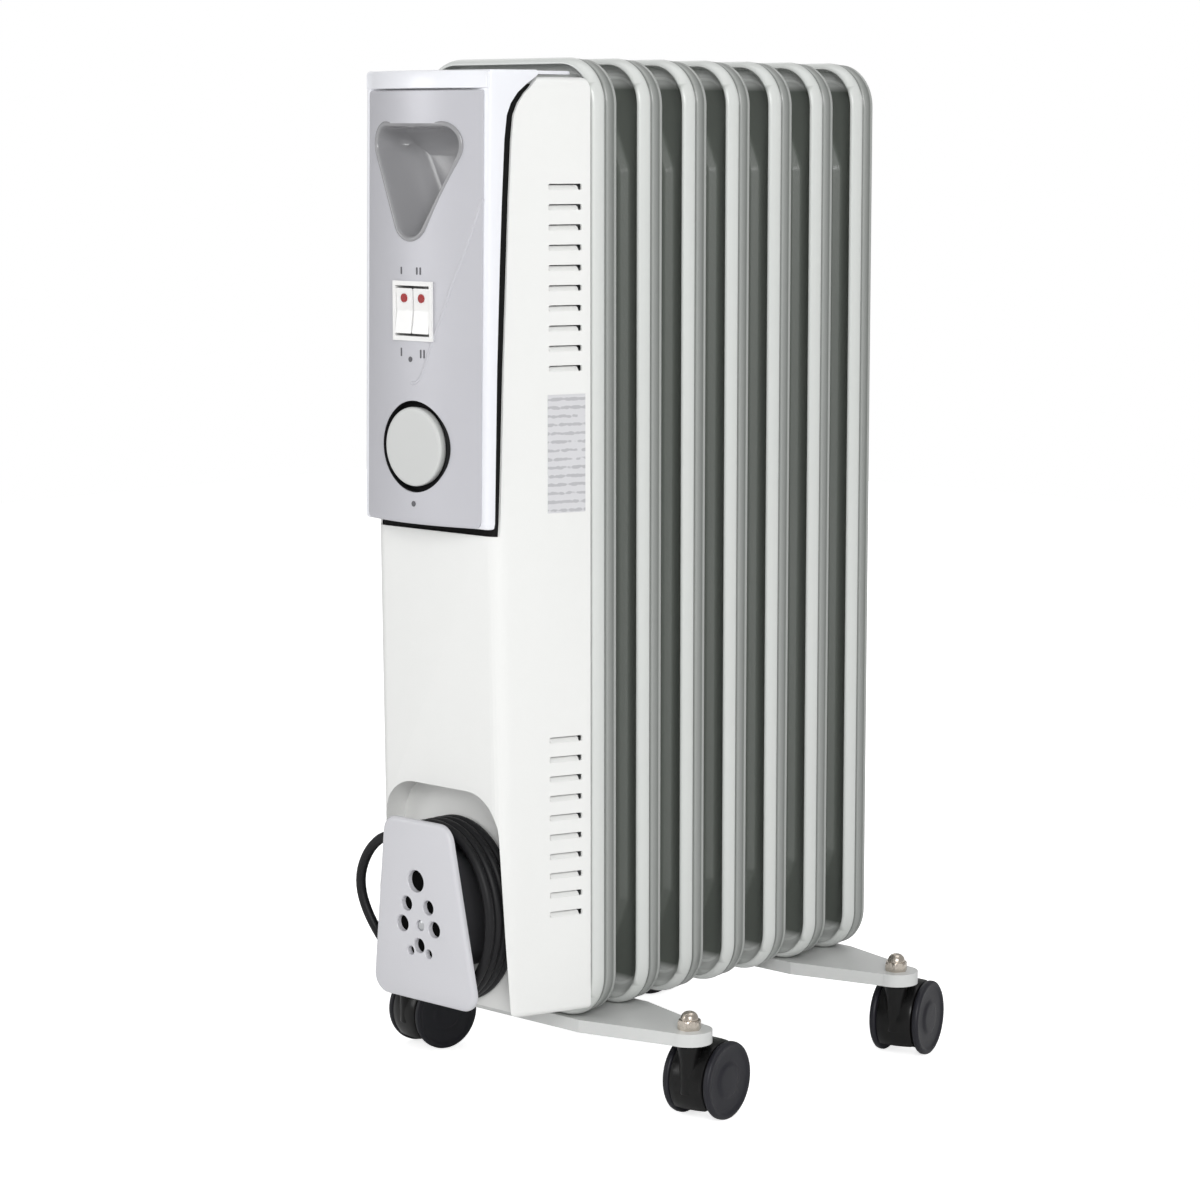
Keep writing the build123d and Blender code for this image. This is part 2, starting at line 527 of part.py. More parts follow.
# Each wire starts just off the terminal block and ends just short of the piece it feeds.
WIRE_R = 1.2
WIRE_BEND_R = 8.0
wire_runs = [
    [(-15, -128, 213), (-15, -132, 190), (-8, -130, 150), (-8, -123, 117)],
    [(5, -128, 213), (5, -132, 190), (8, -130, 150), (8, -123, 117)],
    [(-15, -128, 233), (-15, -136, 260), (-24, -138, 340), (-14, -140, 400)],
    [(15, -128, 233), (15, -136, 260), (24, -136, 360), (24, -140, 440), (10, -148, 478)],
]
wires = []
for run in wire_runs:
    wires.append(tube_along(run, WIRE_R, WIRE_BEND_R)[0])
nodes["wiring"] = Compound(children=wires)

# ---- Cord wrap ----
HUB_CORNER_R = 12.0
GLAND_Z = 173.0
GLAND_Y = -168.9
GLAND_HALF = 3.5
GLAND_FACE_X = 1.0
GLAND_BACK_X = 9.0
BOSS_BACK_Y = -164.8
BOSS_END_X = 17.0
PLATE_SCREW_Z = 120.0
PLATE_SCREW_R = 1.8
PLATE_SCREW_REACH = 13.0
hub_sketch = RectangleRounded(2 * HUB_HALF_WIDTH, HUB_TOP_Z - HUB_BOTTOM_Z, HUB_CORNER_R)
hub = slab_y(Pos(0, (HUB_BOTTOM_Z + HUB_TOP_Z) / 2) * hub_sketch, PLATE_BACK_Y, RECESS_FLOOR_Y)
hub += block(GLAND_FACE_X + 2, BOSS_END_X, PLATE_BACK_Y, BOSS_BACK_Y,
             HUB_TOP_Z - 6, GLAND_Z + 2 * GLAND_HALF)
hub -= block(GLAND_FACE_X, GLAND_BACK_X + 0.1, GLAND_Y - GLAND_HALF, GLAND_Y + GLAND_HALF,
             GLAND_Z - GLAND_HALF, GLAND_Z + GLAND_HALF)
hub -= rod_y(0, PLATE_SCREW_Z, PLATE_SCREW_R + 0.1, PLATE_BACK_Y - 1, PLATE_BACK_Y + PLATE_SCREW_REACH + 1)
nodes["wrap_hub"] = hub

plate_corners = [
    (-PLATE_BOTTOM_HALF, PLATE_BOTTOM_Z), (PLATE_BOTTOM_HALF, PLATE_BOTTOM_Z),
    (PLATE_TOP_HALF, PLATE_TOP_Z), (-PLATE_TOP_HALF, PLATE_TOP_Z)]
PLATE_CORNER_R = 11.0
PLATE_EDGE_R = 2.0
VENT_DEPTH = 2.5
plate_sketch = fillet(make_face(Polyline(*plate_corners, close=True)).vertices(), radius=PLATE_CORNER_R)
# Each vent is its X, its Z and its radius.
VENTS = [
    (0, 141, 6.5), (-9.3, 126, 4.2), (9.3, 126, 4.2), (-13.7, 113, 4.8), (13.7, 113, 4.8),
    (0, 101, 4.2), (-7.8, 97, 2.6), (7.8, 97, 2.6)]
plate = slab_y(plate_sketch, PLATE_FRONT_Y, PLATE_BACK_Y)
plate = fillet(plate.edges().group_by(Axis.Y)[0], radius=PLATE_EDGE_R)
for x, z, radius in VENTS:
    plate -= rod_y(x, z, radius, PLATE_FRONT_Y - 1, PLATE_FRONT_Y + VENT_DEPTH)
plate -= rod_y(0, PLATE_SCREW_Z, PLATE_SCREW_R + 0.3, PLATE_FRONT_Y - 1, PLATE_BACK_Y + 1)
nodes["wrap_plate"] = plate
plate_screw_back_y = PLATE_BACK_Y + PLATE_SCREW_REACH
nodes["plate_screw"] = rod_y(0, PLATE_SCREW_Z, PLATE_SCREW_R, PLATE_FRONT_Y + 1.5, plate_screw_back_y)

# ---- Mains cord ----
gland = block(GLAND_FACE_X, GLAND_BACK_X, GLAND_Y - GLAND_HALF + 0.1, GLAND_Y + GLAND_HALF - 0.1,
              GLAND_Z - GLAND_HALF + 0.1, GLAND_Z + GLAND_HALF - 0.1)
nodes["cord_gland"] = gland
RELIEF_LENGTH = 20.0
relief = Pos(GLAND_FACE_X - RELIEF_LENGTH / 2, GLAND_Y, GLAND_Z) * Rot(0, -90, 0)
relief = relief * Cone(CORD_D / 2 + 0.9, CORD_D / 2 + 0.4, RELIEF_LENGTH)
relief -= rod_x(GLAND_Y, GLAND_Z, CORD_D / 2, -40, GLAND_FACE_X)
nodes["strain_relief"] = relief
# The lead leaves the gland to the left, loops out past the plate and enters the coil low down.
lead_points = [
    (GLAND_FACE_X, GLAND_Y, GLAND_Z), (-31, -168.9, 173), (-51, -168.9, 160),
    (-61, -168.6, 138), (-54, -166.5, 115), (-36, -161.2, 91)]
# The tail leaves the back of the coil and lies over the front bracket to the parked plug.
tail_points = [
    (-46.5, -142.4, 116), (-54, -145, 97), (-68, -138, 82),
    (-85, -120, 75), (-94, -104, PLUG_Z), (PLUG_X, PLUG_Y, PLUG_Z)]


def corner_radii(points):
    """Largest arc that the shorter of the two runs at each corner leaves room for."""
    found = []
    for before, corner, after in zip(points, points[1:], points[2:]):
        run_in = Vector(*corner) - Vector(*before)
        run_out = Vector(*after) - Vector(*corner)
        half_turn = math.radians(run_in.get_angle(run_out)) / 2
        found.append(0.45 * min(run_in.length, run_out.length) / math.tan(half_turn))
    return found


for name, points in (("cord_lead", lead_points), ("cord_tail", tail_points)):
    radii = corner_radii(points)
    nodes[name], path = tube_along(points, CORD_D / 2, radii)
    section = math.pi * (CORD_D / 2) ** 2
    print(name, "radii", [round(r, 1) for r in radii], "length", round(path.length, 1),
          "volume ratio", round(nodes[name].volume / (section * path.length), 4))

half_cord = CORD_D / 2
coil = slab_y(Pos(0, COIL_CENTRE_Z) * Ellipse(COIL_HALF_WIDTH + half_cord, COIL_HALF_HEIGHT + half_cord),
              COIL_FRONT_Y, COIL_BACK_Y)
coil -= slab_y(Pos(0, COIL_CENTRE_Z) * Ellipse(COIL_HALF_WIDTH - 6, COIL_HALF_HEIGHT - 6),
               COIL_FRONT_Y - 1, COIL_BACK_Y + 1)
nodes["cord_coil"] = coil

BOOT_LENGTH = 18.0
BOOT_END_R = 6.0
PLUG_GRIP_R = 12.5
PLUG_FACE_R = 17.5
PIN_SEAT = 8.0
PIN_SEAT_R = 1.8
PIN_BEVEL = 0.8
GRIP_LENGTH = 20.0
FACE_LENGTH = 12.0
grip_y = PLUG_Y + BOOT_LENGTH
face_y = grip_y + GRIP_LENGTH
pin_root_y = face_y + FACE_LENGTH
boot_middle = Pos(PLUG_X, PLUG_Y + BOOT_LENGTH / 2, PLUG_Z)
boot = boot_middle * Rot(-90, 0, 0) * Cone(half_cord + 0.6, BOOT_END_R, BOOT_LENGTH)
plug = boot + rod_y(PLUG_X, PLUG_Z, PLUG_GRIP_R, grip_y, face_y)
plug += rod_y(PLUG_X, PLUG_Z, PLUG_FACE_R, face_y, pin_root_y)
pins = []
for side in (-1, 1):
    pin_x = PLUG_X + side * PIN_SPACING / 2
    plug -= rod_y(pin_x, PLUG_Z, PIN_SEAT_R, pin_root_y - PIN_SEAT, pin_root_y + 1)
    pin = rod_y(pin_x, PLUG_Z, PIN_R, pin_root_y, pin_root_y + PIN_LENGTH)
    pin = chamfer(pin.edges().sort_by(Axis.Y)[-1], length=PIN_BEVEL)
    pins.append(pin + rod_y(pin_x, PLUG_Z, PIN_SEAT_R, pin_root_y - PIN_SEAT, pin_root_y))
nodes["plug_body"] = plug
nodes["plug_pins"] = Compound(children=pins)


# ---- Cross brackets, U-bolts and their wing nuts ----
def bracket_outline(inset):
    """Plan of a bracket: wide under the fins, tapering to a rounded tip over each caster."""
    tip = BRACKET_TIP_R - inset
    half_depth = BRACKET_HALF_DEPTH - inset
    wide = BRACKET_HALF_CENTRE
    front = [(-STEM_X, -tip), (-wide, -half_depth), (wide, -half_depth), (STEM_X, -tip)]
    rear = [(x, -y) for x, y in reversed(front)]
    shape = make_face(Polyline(*front, *rear, close=True))
    for side in (-1, 1):
        shape += Pos(side * STEM_X, 0) * Circle(tip)
    return shape


U_LEG_X = 24.0
U_LEG_END_Z = 42.0
U_ROD_R = 3.0
WING_NUT_R = 6.0
WING_NUT_HEIGHT = 7.0
WING_HALF_SPAN = 13.0
WING_HALF_THICK = 1.2
BELOW_PLATE_Z = PLATE_Z - 30.0
for name, y in zip(("front", "rear"), BRACKET_Y):
    bracket = Pos(0, 0, PLATE_Z) * extrude(bracket_outline(0), BRACKET_PLATE)
    lip = bracket_outline(0) - bracket_outline(BRACKET_PLATE)
    bracket += Pos(0, 0, FIN_BOTTOM_Z - BRACKET_LIP) * extrude(lip, BRACKET_LIP)
    for side in (-1, 1):
        bracket -= rod_z(side * STEM_X, 0, STEM_R + 0.2, BELOW_PLATE_Z, FIN_BOTTOM_Z + 1)
        bracket -= rod_z(side * U_LEG_X, 0, U_ROD_R + 0.3, BELOW_PLATE_Z, FIN_BOTTOM_Z + 1)
    nodes[f"{name}_bracket"] = Pos(0, y, 0) * bracket
    leg_end = Vector(-U_LEG_X, y, U_LEG_END_Z)
    other_end = Vector(U_LEG_X, y, U_LEG_END_Z)
    arc_in = Vector(-U_LEG_X, y, HEADER_Z[0])
    arc_top = Vector(0, y, HEADER_Z[0] + U_LEG_X)
    arc_out = Vector(U_LEG_X, y, HEADER_Z[0])
    route = Line(leg_end, arc_in) + ThreePointArc(arc_in, arc_top, arc_out) + Line(arc_out, other_end)
    nodes[f"{name}_u_bolt"] = sweep(Plane(leg_end, z_dir=(0, 0, 1)) * Circle(U_ROD_R), path=route)

wing_nuts = []
for y in BRACKET_Y:
    for side in (-1, 1):
        x = side * U_LEG_X
        nut = rod_z(x, y, WING_NUT_R, PLATE_Z - WING_NUT_HEIGHT, PLATE_Z)
        nut += block(x - WING_HALF_SPAN, x + WING_HALF_SPAN, y - WING_HALF_THICK, y + WING_HALF_THICK,
                     PLATE_Z - WING_NUT_HEIGHT - 3, PLATE_Z - 3)
        nut -= rod_z(x, y, U_ROD_R + 0.1, BELOW_PLATE_Z, FIN_BOTTOM_Z)
        wing_nuts.append(nut)
nodes["wing_nuts"] = Compound(children=wing_nuts)

# ---- Caster stems and their acorn nuts ----
HOOD_TOP_Z = 48.4
STEM_BOTTOM_Z = 30.0
SHOULDER_R = 6.5
NUT_FLAT_TO_CORNER = 7.5
NUT_HEIGHT = 6.0
DOME_R = 5.6
stems = []
nuts = []
for y in BRACKET_Y:
    for side in (-1, 1):
        x = side * STEM_X
        stem = rod_z(x, y, STEM_R, STEM_BOTTOM_Z, FIN_BOTTOM_Z + 5)
        stem += rod_z(x, y, SHOULDER_R, HOOD_TOP_Z + 0.6, PLATE_Z)
        stems.append(stem)
        nut = Pos(x, y, FIN_BOTTOM_Z) * extrude(RegularPolygon(NUT_FLAT_TO_CORNER, 6), NUT_HEIGHT)
        nut += Pos(x, y, FIN_BOTTOM_Z + NUT_HEIGHT - 0.6) * (Sphere(DOME_R) & Pos(0, 0, 10) * Box(20, 20, 20))
        nut -= rod_z(x, y, STEM_R, FIN_BOTTOM_Z - 1, FIN_BOTTOM_Z + 5)
        nuts.append(nut)
nodes["caster_stems"] = Compound(children=stems)
nodes["acorn_nuts"] = Compound(children=nuts)

# ---- Twin-wheel casters ----
DISC_INNER_X = 12.5
DRUM_R = 20.5
DRUM_INNER_X = 6.4
WEB_HALF = 5.8
SOCKET_R = 5.8
SHROUD_INNER_R = 21.3
SHROUD_OUTER_R = 23.3
SHROUD_HALF = 12.0
AXLE_HALF = 15.0


def caster_hood():
    """Hood with its axle, wheels' centre at the origin and the swivel stem CASTER_TRAIL ahead."""
    shroud = rod_x(0, 0, SHROUD_OUTER_R, -SHROUD_HALF, SHROUD_HALF)
    shroud -= rod_x(0, 0, SHROUD_INNER_R, -SHROUD_HALF - 1, SHROUD_HALF + 1)
    shroud -= Rot(-30, 0, 0) * block(-20, 20, -6, 40, -40, 40)
    web = rod_x(0, 0, SHROUD_OUTER_R, -WEB_HALF, WEB_HALF) & block(-20, 20, -40, 8, -12, 40)
    socket = rod_z(0, -CASTER_TRAIL, SOCKET_R, -6, HOOD_TOP_Z - WHEEL_R)
    body = shroud + web + socket
    body -= rod_z(0, -CASTER_TRAIL, STEM_R + RUNNING_GAP, STEM_BOTTOM_Z - WHEEL_R - 1, 40)
    body -= rod_x(0, 0, AXLE_R, -20, 20)
    axle = rod_x(0, 0, AXLE_R, -AXLE_HALF, AXLE_HALF)
    return body, axle


def caster_wheel():
    """Right-hand wheel: a full disc outside and a narrower drum under the hood."""
    wheel = rod_x(0, 0, WHEEL_R, DISC_INNER_X, CASTER_HALF_WIDTH)
    wheel = fillet(wheel.edges().sort_by(Axis.X)[-1], radius=1.5)
    wheel += rod_x(0, 0, DRUM_R, DRUM_INNER_X, DISC_INNER_X)
    wheel -= rod_x(0, 0, AXLE_R + RUNNING_GAP, 0, AXLE_HALF + 0.3)
    return wheel


hood_body, hood_axle = caster_hood()
wheel_right = caster_wheel()
wheel_left = mirror(wheel_right, about=Plane.YZ)
for corner, yaw in CASTER_YAW.items():
    end, side = corner.split("_")
    x = STEM_X if side == "right" else -STEM_X
    y = BRACKET_Y[0] if end == "front" else BRACKET_Y[1]
    place = Pos(x, y, WHEEL_R) * Rot(0, 0, yaw) * Pos(0, CASTER_TRAIL, 0)
    nodes[f"caster_hood_{corner}"] = Compound(children=[place * hood_body, place * hood_axle])
    nodes[f"wheel_{corner}_a"] = place * wheel_right
    nodes[f"wheel_{corner}_b"] = place * wheel_left

os.makedirs("parts", exist_ok=True)
for name, shape in nodes.items():
    export_step(shape, f"parts/{name}.step")
print(len(nodes), "nodes written")
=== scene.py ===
import math

import bmesh
import bpy
from mathutils import Matrix, Vector


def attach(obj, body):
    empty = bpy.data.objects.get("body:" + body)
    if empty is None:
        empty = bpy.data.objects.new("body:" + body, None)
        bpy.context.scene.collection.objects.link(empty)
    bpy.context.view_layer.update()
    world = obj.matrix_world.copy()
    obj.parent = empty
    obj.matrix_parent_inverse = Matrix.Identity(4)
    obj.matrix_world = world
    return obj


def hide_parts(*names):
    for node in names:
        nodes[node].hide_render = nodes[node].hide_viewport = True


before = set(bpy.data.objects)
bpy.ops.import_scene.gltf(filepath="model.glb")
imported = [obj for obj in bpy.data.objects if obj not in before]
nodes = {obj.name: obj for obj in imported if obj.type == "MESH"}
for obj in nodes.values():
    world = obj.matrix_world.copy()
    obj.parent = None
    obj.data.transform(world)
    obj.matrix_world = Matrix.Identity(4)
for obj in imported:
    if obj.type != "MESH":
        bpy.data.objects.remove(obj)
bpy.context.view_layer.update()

# ---- Studio ----
# A plain white floor, white surroundings and soft lights: a large one high on the right, a weaker
# one ahead on the left and a low strip of light that picks out the fins.
CAMERA_PLACE = (1.455, -1.5561, 0.5931)
CAMERA_BACK = (0.6805, -0.7201, 0.1359)
CAMERA_LENS = 101.92
camera_data = bpy.data.cameras.new("camera")
camera_data.lens = CAMERA_LENS
camera_data.sensor_width = 36.0
camera = bpy.data.objects.new("camera", camera_data)
camera.location = CAMERA_PLACE
camera.rotation_euler = Vector(CAMERA_BACK).to_track_quat("Z", "Y").to_euler()
bpy.context.scene.collection.objects.link(camera)
bpy.context.scene.camera = camera
bpy.context.scene.view_settings.view_transform = "Standard"

SURROUND_FOR_LIGHT = 0.43
SURROUND_SEEN = 1.0
world = bpy.data.worlds.new("white_room")
world.use_nodes = True
bpy.context.scene.world = world
room = world.node_tree.nodes
room_links = world.node_tree.links
surround = room["Background"]
surround.inputs["Color"].default_value = (1.0, 1.0, 1.0, 1.0)
seen_or_lit = room.new("ShaderNodeMapRange")
seen_or_lit.inputs["To Min"].default_value = SURROUND_FOR_LIGHT
seen_or_lit.inputs["To Max"].default_value = SURROUND_SEEN
room_path = room.new("ShaderNodeLightPath")
room_links.new(room_path.outputs["Is Camera Ray"], seen_or_lit.inputs["Value"])
room_links.new(seen_or_lit.outputs["Result"], surround.inputs["Strength"])

# Each soft light is its name, its place, the point it faces, its width and height and its power.
SOFT_LIGHTS = [
    ("key_light", (2.3, -1.9, 1.5), (0.0, -0.05, 0.35), 1.1, 1.1, 50.0),
    ("left_light", (-1.5, -2.1, 0.9), (0.0, -0.15, 0.35), 0.9, 0.9, 11.0),
    ("top_light", (0.3, 0.4, 2.6), (0.0, 0.1, 0.3), 1.6, 1.6, 10.0),
    ("back_light", (-2.0, 1.6, 1.6), (0.0, 0.1, 0.3), 1.4, 1.4, 4.0),
]
for name, place, target, width, height, power in SOFT_LIGHTS:
    lamp = bpy.data.lights.new(name, "AREA")
    lamp.shape = "RECTANGLE"
    lamp.size = width
    lamp.size_y = height
    lamp.energy = power
    holder = bpy.data.objects.new(name, lamp)
    holder.location = place
    holder.rotation_euler = (Vector(place) - Vector(target)).to_track_quat("Z", "Y").to_euler()
    bpy.context.scene.collection.objects.link(holder)

FLOOR_HALF = 3.0
floor_mesh = bmesh.new()
bmesh.ops.create_grid(floor_mesh, x_segments=4, y_segments=4, size=FLOOR_HALF)
floor_data = bpy.data.meshes.new("floor")
floor_mesh.to_mesh(floor_data)
floor_mesh.free()
floor = bpy.data.objects.new("floor", floor_data)
bpy.context.scene.collection.objects.link(floor)
floor_paper = bpy.data.materials.new("floor_paper")
floor_paper.use_nodes = True
paper = floor_paper.node_tree.nodes["Principled BSDF"]
paper.inputs["Base Color"].default_value = (0.97, 0.97, 0.97, 1.0)
paper.inputs["Roughness"].default_value = 0.9
paper.inputs["Emission Color"].default_value = (1.0, 1.0, 1.0, 1.0)
floor_path = floor_paper.node_tree.nodes.new("ShaderNodeLightPath")
floor_lift = floor_paper.node_tree.nodes.new("ShaderNodeMath")
floor_lift.operation = "MULTIPLY"
floor_lift.inputs[1].default_value = 0.75
floor_paper.node_tree.links.new(floor_path.outputs["Is Camera Ray"], floor_lift.inputs[0])
floor_paper.node_tree.links.new(floor_lift.outputs["Value"], paper.inputs["Emission Strength"])
floor_data.materials.append(floor_paper)

# ---- Mains cord ----
# A round rubber-sheathed lead, 6.2 mm thick. It leaves the gland beside the hub, loops out past the
# plate, is wound four turns round the hub and ends at the plug, parked over the front bracket.
MM = 0.001
CORD_D = 6.2
LEAD_POINTS = [
    (1.0, -168.9, 173.0), (-31.0, -168.9, 173.0), (-51.0, -168.9, 160.0),
    (-61.0, -168.6, 138.0), (-54.0, -166.5, 115.0), (-36.0, -161.2, 91.0)]
TAIL_POINTS = [
    (-46.5, -142.4, 116.0), (-54.0, -145.0, 97.0), (-68.0, -138.0, 82.0),
    (-85.0, -120.0, 75.0), (-94.0, -104.0, 75.7), (-94.0, -88.0, 75.7)]
COIL_CENTRE_Z = 126.0
COIL_HALF_WIDTH = 47.0
COIL_HALF_HEIGHT = 55.0
COIL_FIRST_Y = -161.2
TURN_PITCH = 6.3
COIL_START = 219.8
COIL_END = 1630.0
STEP_OVER_START = 519.8
STEP_OVER_SWEEP = 60.0
POINTS_PER_TURN = 18


def coil_point(turned):
    """A point of the winding: each turn lies flat, then steps over to the next slot low on the left."""
    angle = math.radians(turned)
    slot = 0.0
    for turn in range(3):
        share = (turned - STEP_OVER_START - 360.0 * turn) / STEP_OVER_SWEEP
        share = min(max(share, 0.0), 1.0)
        slot += share * share * (3.0 - 2.0 * share)
    return (COIL_HALF_WIDTH * math.cos(angle), COIL_FIRST_Y + TURN_PITCH * slot,
            COIL_CENTRE_Z + COIL_HALF_HEIGHT * math.sin(angle))


coil_count = round((COIL_END - COIL_START) / 360.0 * POINTS_PER_TURN)
coil_points = [coil_point(COIL_START + (COIL_END - COIL_START) * i / coil_count)
               for i in range(1, coil_count)]
cord_points = LEAD_POINTS + coil_points + TAIL_POINTS
cord_curve = bpy.data.curves.new("mains_cord", "CURVE")
cord_curve.dimensions = "3D"
cord_curve.bevel_depth = CORD_D / 2 * MM
cord_curve.bevel_resolution = 5
cord_curve.resolution_u = 6
cord_curve.use_fill_caps = True
run = cord_curve.splines.new("NURBS")
run.points.add(len(cord_points) - 1)
for point, (x, y, z) in zip(run.points, cord_points):
    point.co = (x * MM, y * MM, z * MM, 1.0)
run.order_u = 3
run.use_endpoint_u = True
mains_cord = bpy.data.objects.new("mains_cord", cord_curve)
bpy.context.scene.collection.objects.link(mains_cord)


def new_material(name, slot_name):
    """A node material whose Principled shader is ready to be wired, and the slot it belongs to."""
    material = bpy.data.materials.new(name)
    material.use_nodes = True
    material["slot"] = slot_name
    return material, material.node_tree.nodes, material.node_tree.links


def set_shader(material, colour, roughness, metallic=0.0, coat=0.0, coat_roughness=0.1, specular=0.5):
    """Constants that are the same all over the surface go on the shader's own sockets."""
    shader = material.node_tree.nodes["Principled BSDF"]
    shader.inputs["Base Color"].default_value = (*colour, 1.0)
    shader.inputs["Roughness"].default_value = roughness
    shader.inputs["Metallic"].default_value = metallic
    shader.inputs["Coat Weight"].default_value = coat
    shader.inputs["Coat Roughness"].default_value = coat_roughness
    shader.inputs["Specular IOR Level"].default_value = specular
    return shader


def group_socket(tree, name, direction, kind, value=None, low=None, high=None):
    """One named input or output of a shader node group."""
    socket = tree.interface.new_socket(name=name, in_out=direction, socket_type=kind)
    if value is not None:
        socket.default_value = value
    if low is not None:
        socket.min_value = low
    if high is not None:
        socket.max_value = high
    return socket


def surface_grain_group():
    """Fine skin of a moulded or sprayed surface: mottled colour, uneven gloss and a small height."""
    tree = bpy.data.node_groups.new("surface_grain", "ShaderNodeTree")
    group_socket(tree, "Colour", "INPUT", "NodeSocketColor", (0.8, 0.8, 0.8, 1.0))
    group_socket(tree, "Shade", "INPUT", "NodeSocketColor", (0.6, 0.6, 0.6, 1.0))
    group_socket(tree, "Mottle", "INPUT", "NodeSocketFloat", 0.2, 0.0, 1.0)
    group_socket(tree, "Mottle Scale", "INPUT", "NodeSocketFloat", 18.0)
    group_socket(tree, "Grain Scale", "INPUT", "NodeSocketFloat", 900.0)
    group_socket(tree, "Roughness", "INPUT", "NodeSocketFloat", 0.5, 0.0, 1.0)
    group_socket(tree, "Gloss Drift", "INPUT", "NodeSocketFloat", 0.08, 0.0, 1.0)
    group_socket(tree, "Colour", "OUTPUT", "NodeSocketColor")
    group_socket(tree, "Roughness", "OUTPUT", "NodeSocketFloat")
    group_socket(tree, "Height", "OUTPUT", "NodeSocketFloat")
    inside = tree.nodes
    wire = tree.links.new
    given = inside.new("NodeGroupInput")
    result = inside.new("NodeGroupOutput")
    place = inside.new("ShaderNodeTexCoord")
    broad = inside.new("ShaderNodeTexNoise")
    broad.inputs["Detail"].default_value = 4.0
    fine = inside.new("ShaderNodeTexNoise")
    fine.inputs["Detail"].default_value = 2.0
    wire(place.outputs["Object"], broad.inputs["Vector"])
    wire(place.outputs["Object"], fine.inputs["Vector"])
    wire(given.outputs["Mottle Scale"], broad.inputs["Scale"])
    wire(given.outputs["Grain Scale"], fine.inputs["Scale"])
    contrast = inside.new("ShaderNodeMapRange")
    contrast.inputs["From Min"].default_value = 0.35
    contrast.inputs["From Max"].default_value = 0.70
    wire(broad.outputs["Fac"], contrast.inputs["Value"])
    amount = inside.new("ShaderNodeMath")
    amount.operation = "MULTIPLY"
    wire(contrast.outputs["Result"], amount.inputs[0])
    wire(given.outputs["Mottle"], amount.inputs[1])
    blend = inside.new("ShaderNodeMix")
    blend.data_type = "RGBA"
    wire(amount.outputs["Value"], blend.inputs["Factor"])
    wire(given.outputs["Colour"], blend.inputs["A"])
    wire(given.outputs["Shade"], blend.inputs["B"])
    drift = inside.new("ShaderNodeMath")
    drift.operation = "MULTIPLY_ADD"
    wire(broad.outputs["Fac"], drift.inputs[0])
    wire(given.outputs["Gloss Drift"], drift.inputs[1])
    wire(given.outputs["Roughness"], drift.inputs[2])
    wire(blend.outputs["Result"], result.inputs["Colour"])
    wire(drift.outputs["Value"], result.inputs["Roughness"])
    wire(fine.outputs["Fac"], result.inputs["Height"])
    return tree


SURFACE_GRAIN = surface_grain_group()


def grained_material(name, slot_name, colour, shade, roughness, mottle=0.2, mottle_scale=18.0,
                     grain_scale=900.0, grain_height=0.05, gloss_drift=0.08, **finish):
    """A material with the surface grain wired into its colour, its gloss and its relief."""
    material, parts, links = new_material(name, slot_name)
    shader = set_shader(material, colour, roughness, **finish)
    grain = parts.new("ShaderNodeGroup")
    grain.node_tree = SURFACE_GRAIN
    grain.inputs["Colour"].default_value = (*colour, 1.0)
    grain.inputs["Shade"].default_value = (*shade, 1.0)
    grain.inputs["Mottle"].default_value = mottle
    grain.inputs["Mottle Scale"].default_value = mottle_scale
    grain.inputs["Grain Scale"].default_value = grain_scale
    grain.inputs["Roughness"].default_value = roughness
    grain.inputs["Gloss Drift"].default_value = gloss_drift
    relief = parts.new("ShaderNodeBump")
    relief.inputs["Strength"].default_value = grain_height
    relief.inputs["Distance"].default_value = 0.0006
    links.new(grain.outputs["Colour"], shader.inputs["Base Color"])
    links.new(grain.outputs["Roughness"], shader.inputs["Roughness"])
    links.new(grain.outputs["Height"], relief.inputs["Height"])
    links.new(relief.outputs["Normal"], shader.inputs["Normal"])
    return material


def finish_piece(piece, material, body, *replaced):
    """Gives a piece its material, the body it rides on and the solids it stands for."""
    piece.data.materials.clear()
    piece.data.materials.append(material)
    if replaced:
        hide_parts(*replaced)
    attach(piece, body)


cord_rubber = grained_material("cord_rubber", "cord_rubber", (0.010, 0.010, 0.011), (0.022, 0.022, 0.024),
                               0.42, mottle=0.35, grain_scale=700.0, grain_height=0.12, specular=0.22)
finish_piece(mains_cord, cord_rubber, "radiator", "cord_lead", "cord_coil", "cord_tail")


def rings_to_mesh(shape, rings, close_start=True, close_end=True):
    """Quads between successive closed rings of points, with flat faces over the two ends."""
    layers = [[shape.verts.new(point) for point in ring] for ring in rings]
    count = len(layers[0])
    for below, above in zip(layers, layers[1:]):
        for i in range(count):
            k = (i + 1) % count
            shape.faces.new((below[i], below[k], above[k], above[i]))
    if close_start:
        shape.faces.new(list(reversed(layers[0])))
    if close_end:
        shape.faces.new(layers[-1])


def turned_rings(profile, centre, axis, steps=32):
    """Rings of a turned piece: the profile lists distance along the axis and radius."""
    along = Vector(axis).normalized()
    across = along.orthogonal().normalized()
    third = along.cross(across)
    rings = []
    for distance, radius in profile:
        middle = Vector(centre) + along * distance
        ring = []
        for i in range(steps):
            angle = 2 * math.pi * i / steps
            ring.append(middle + across * (radius * math.cos(angle)) + third * (radius * math.sin(angle)))
        rings.append(ring)
    return rings


def keep_edges_crisp(shape, crease_angle):
    """Smooth shading everywhere except over edges sharper than the angle."""
    limit = math.radians(crease_angle)
    for face in shape.faces:
        face.smooth = True
    for edge in shape.edges:
        edge.smooth = not (len(edge.link_faces) == 2 and edge.calc_face_angle() > limit)


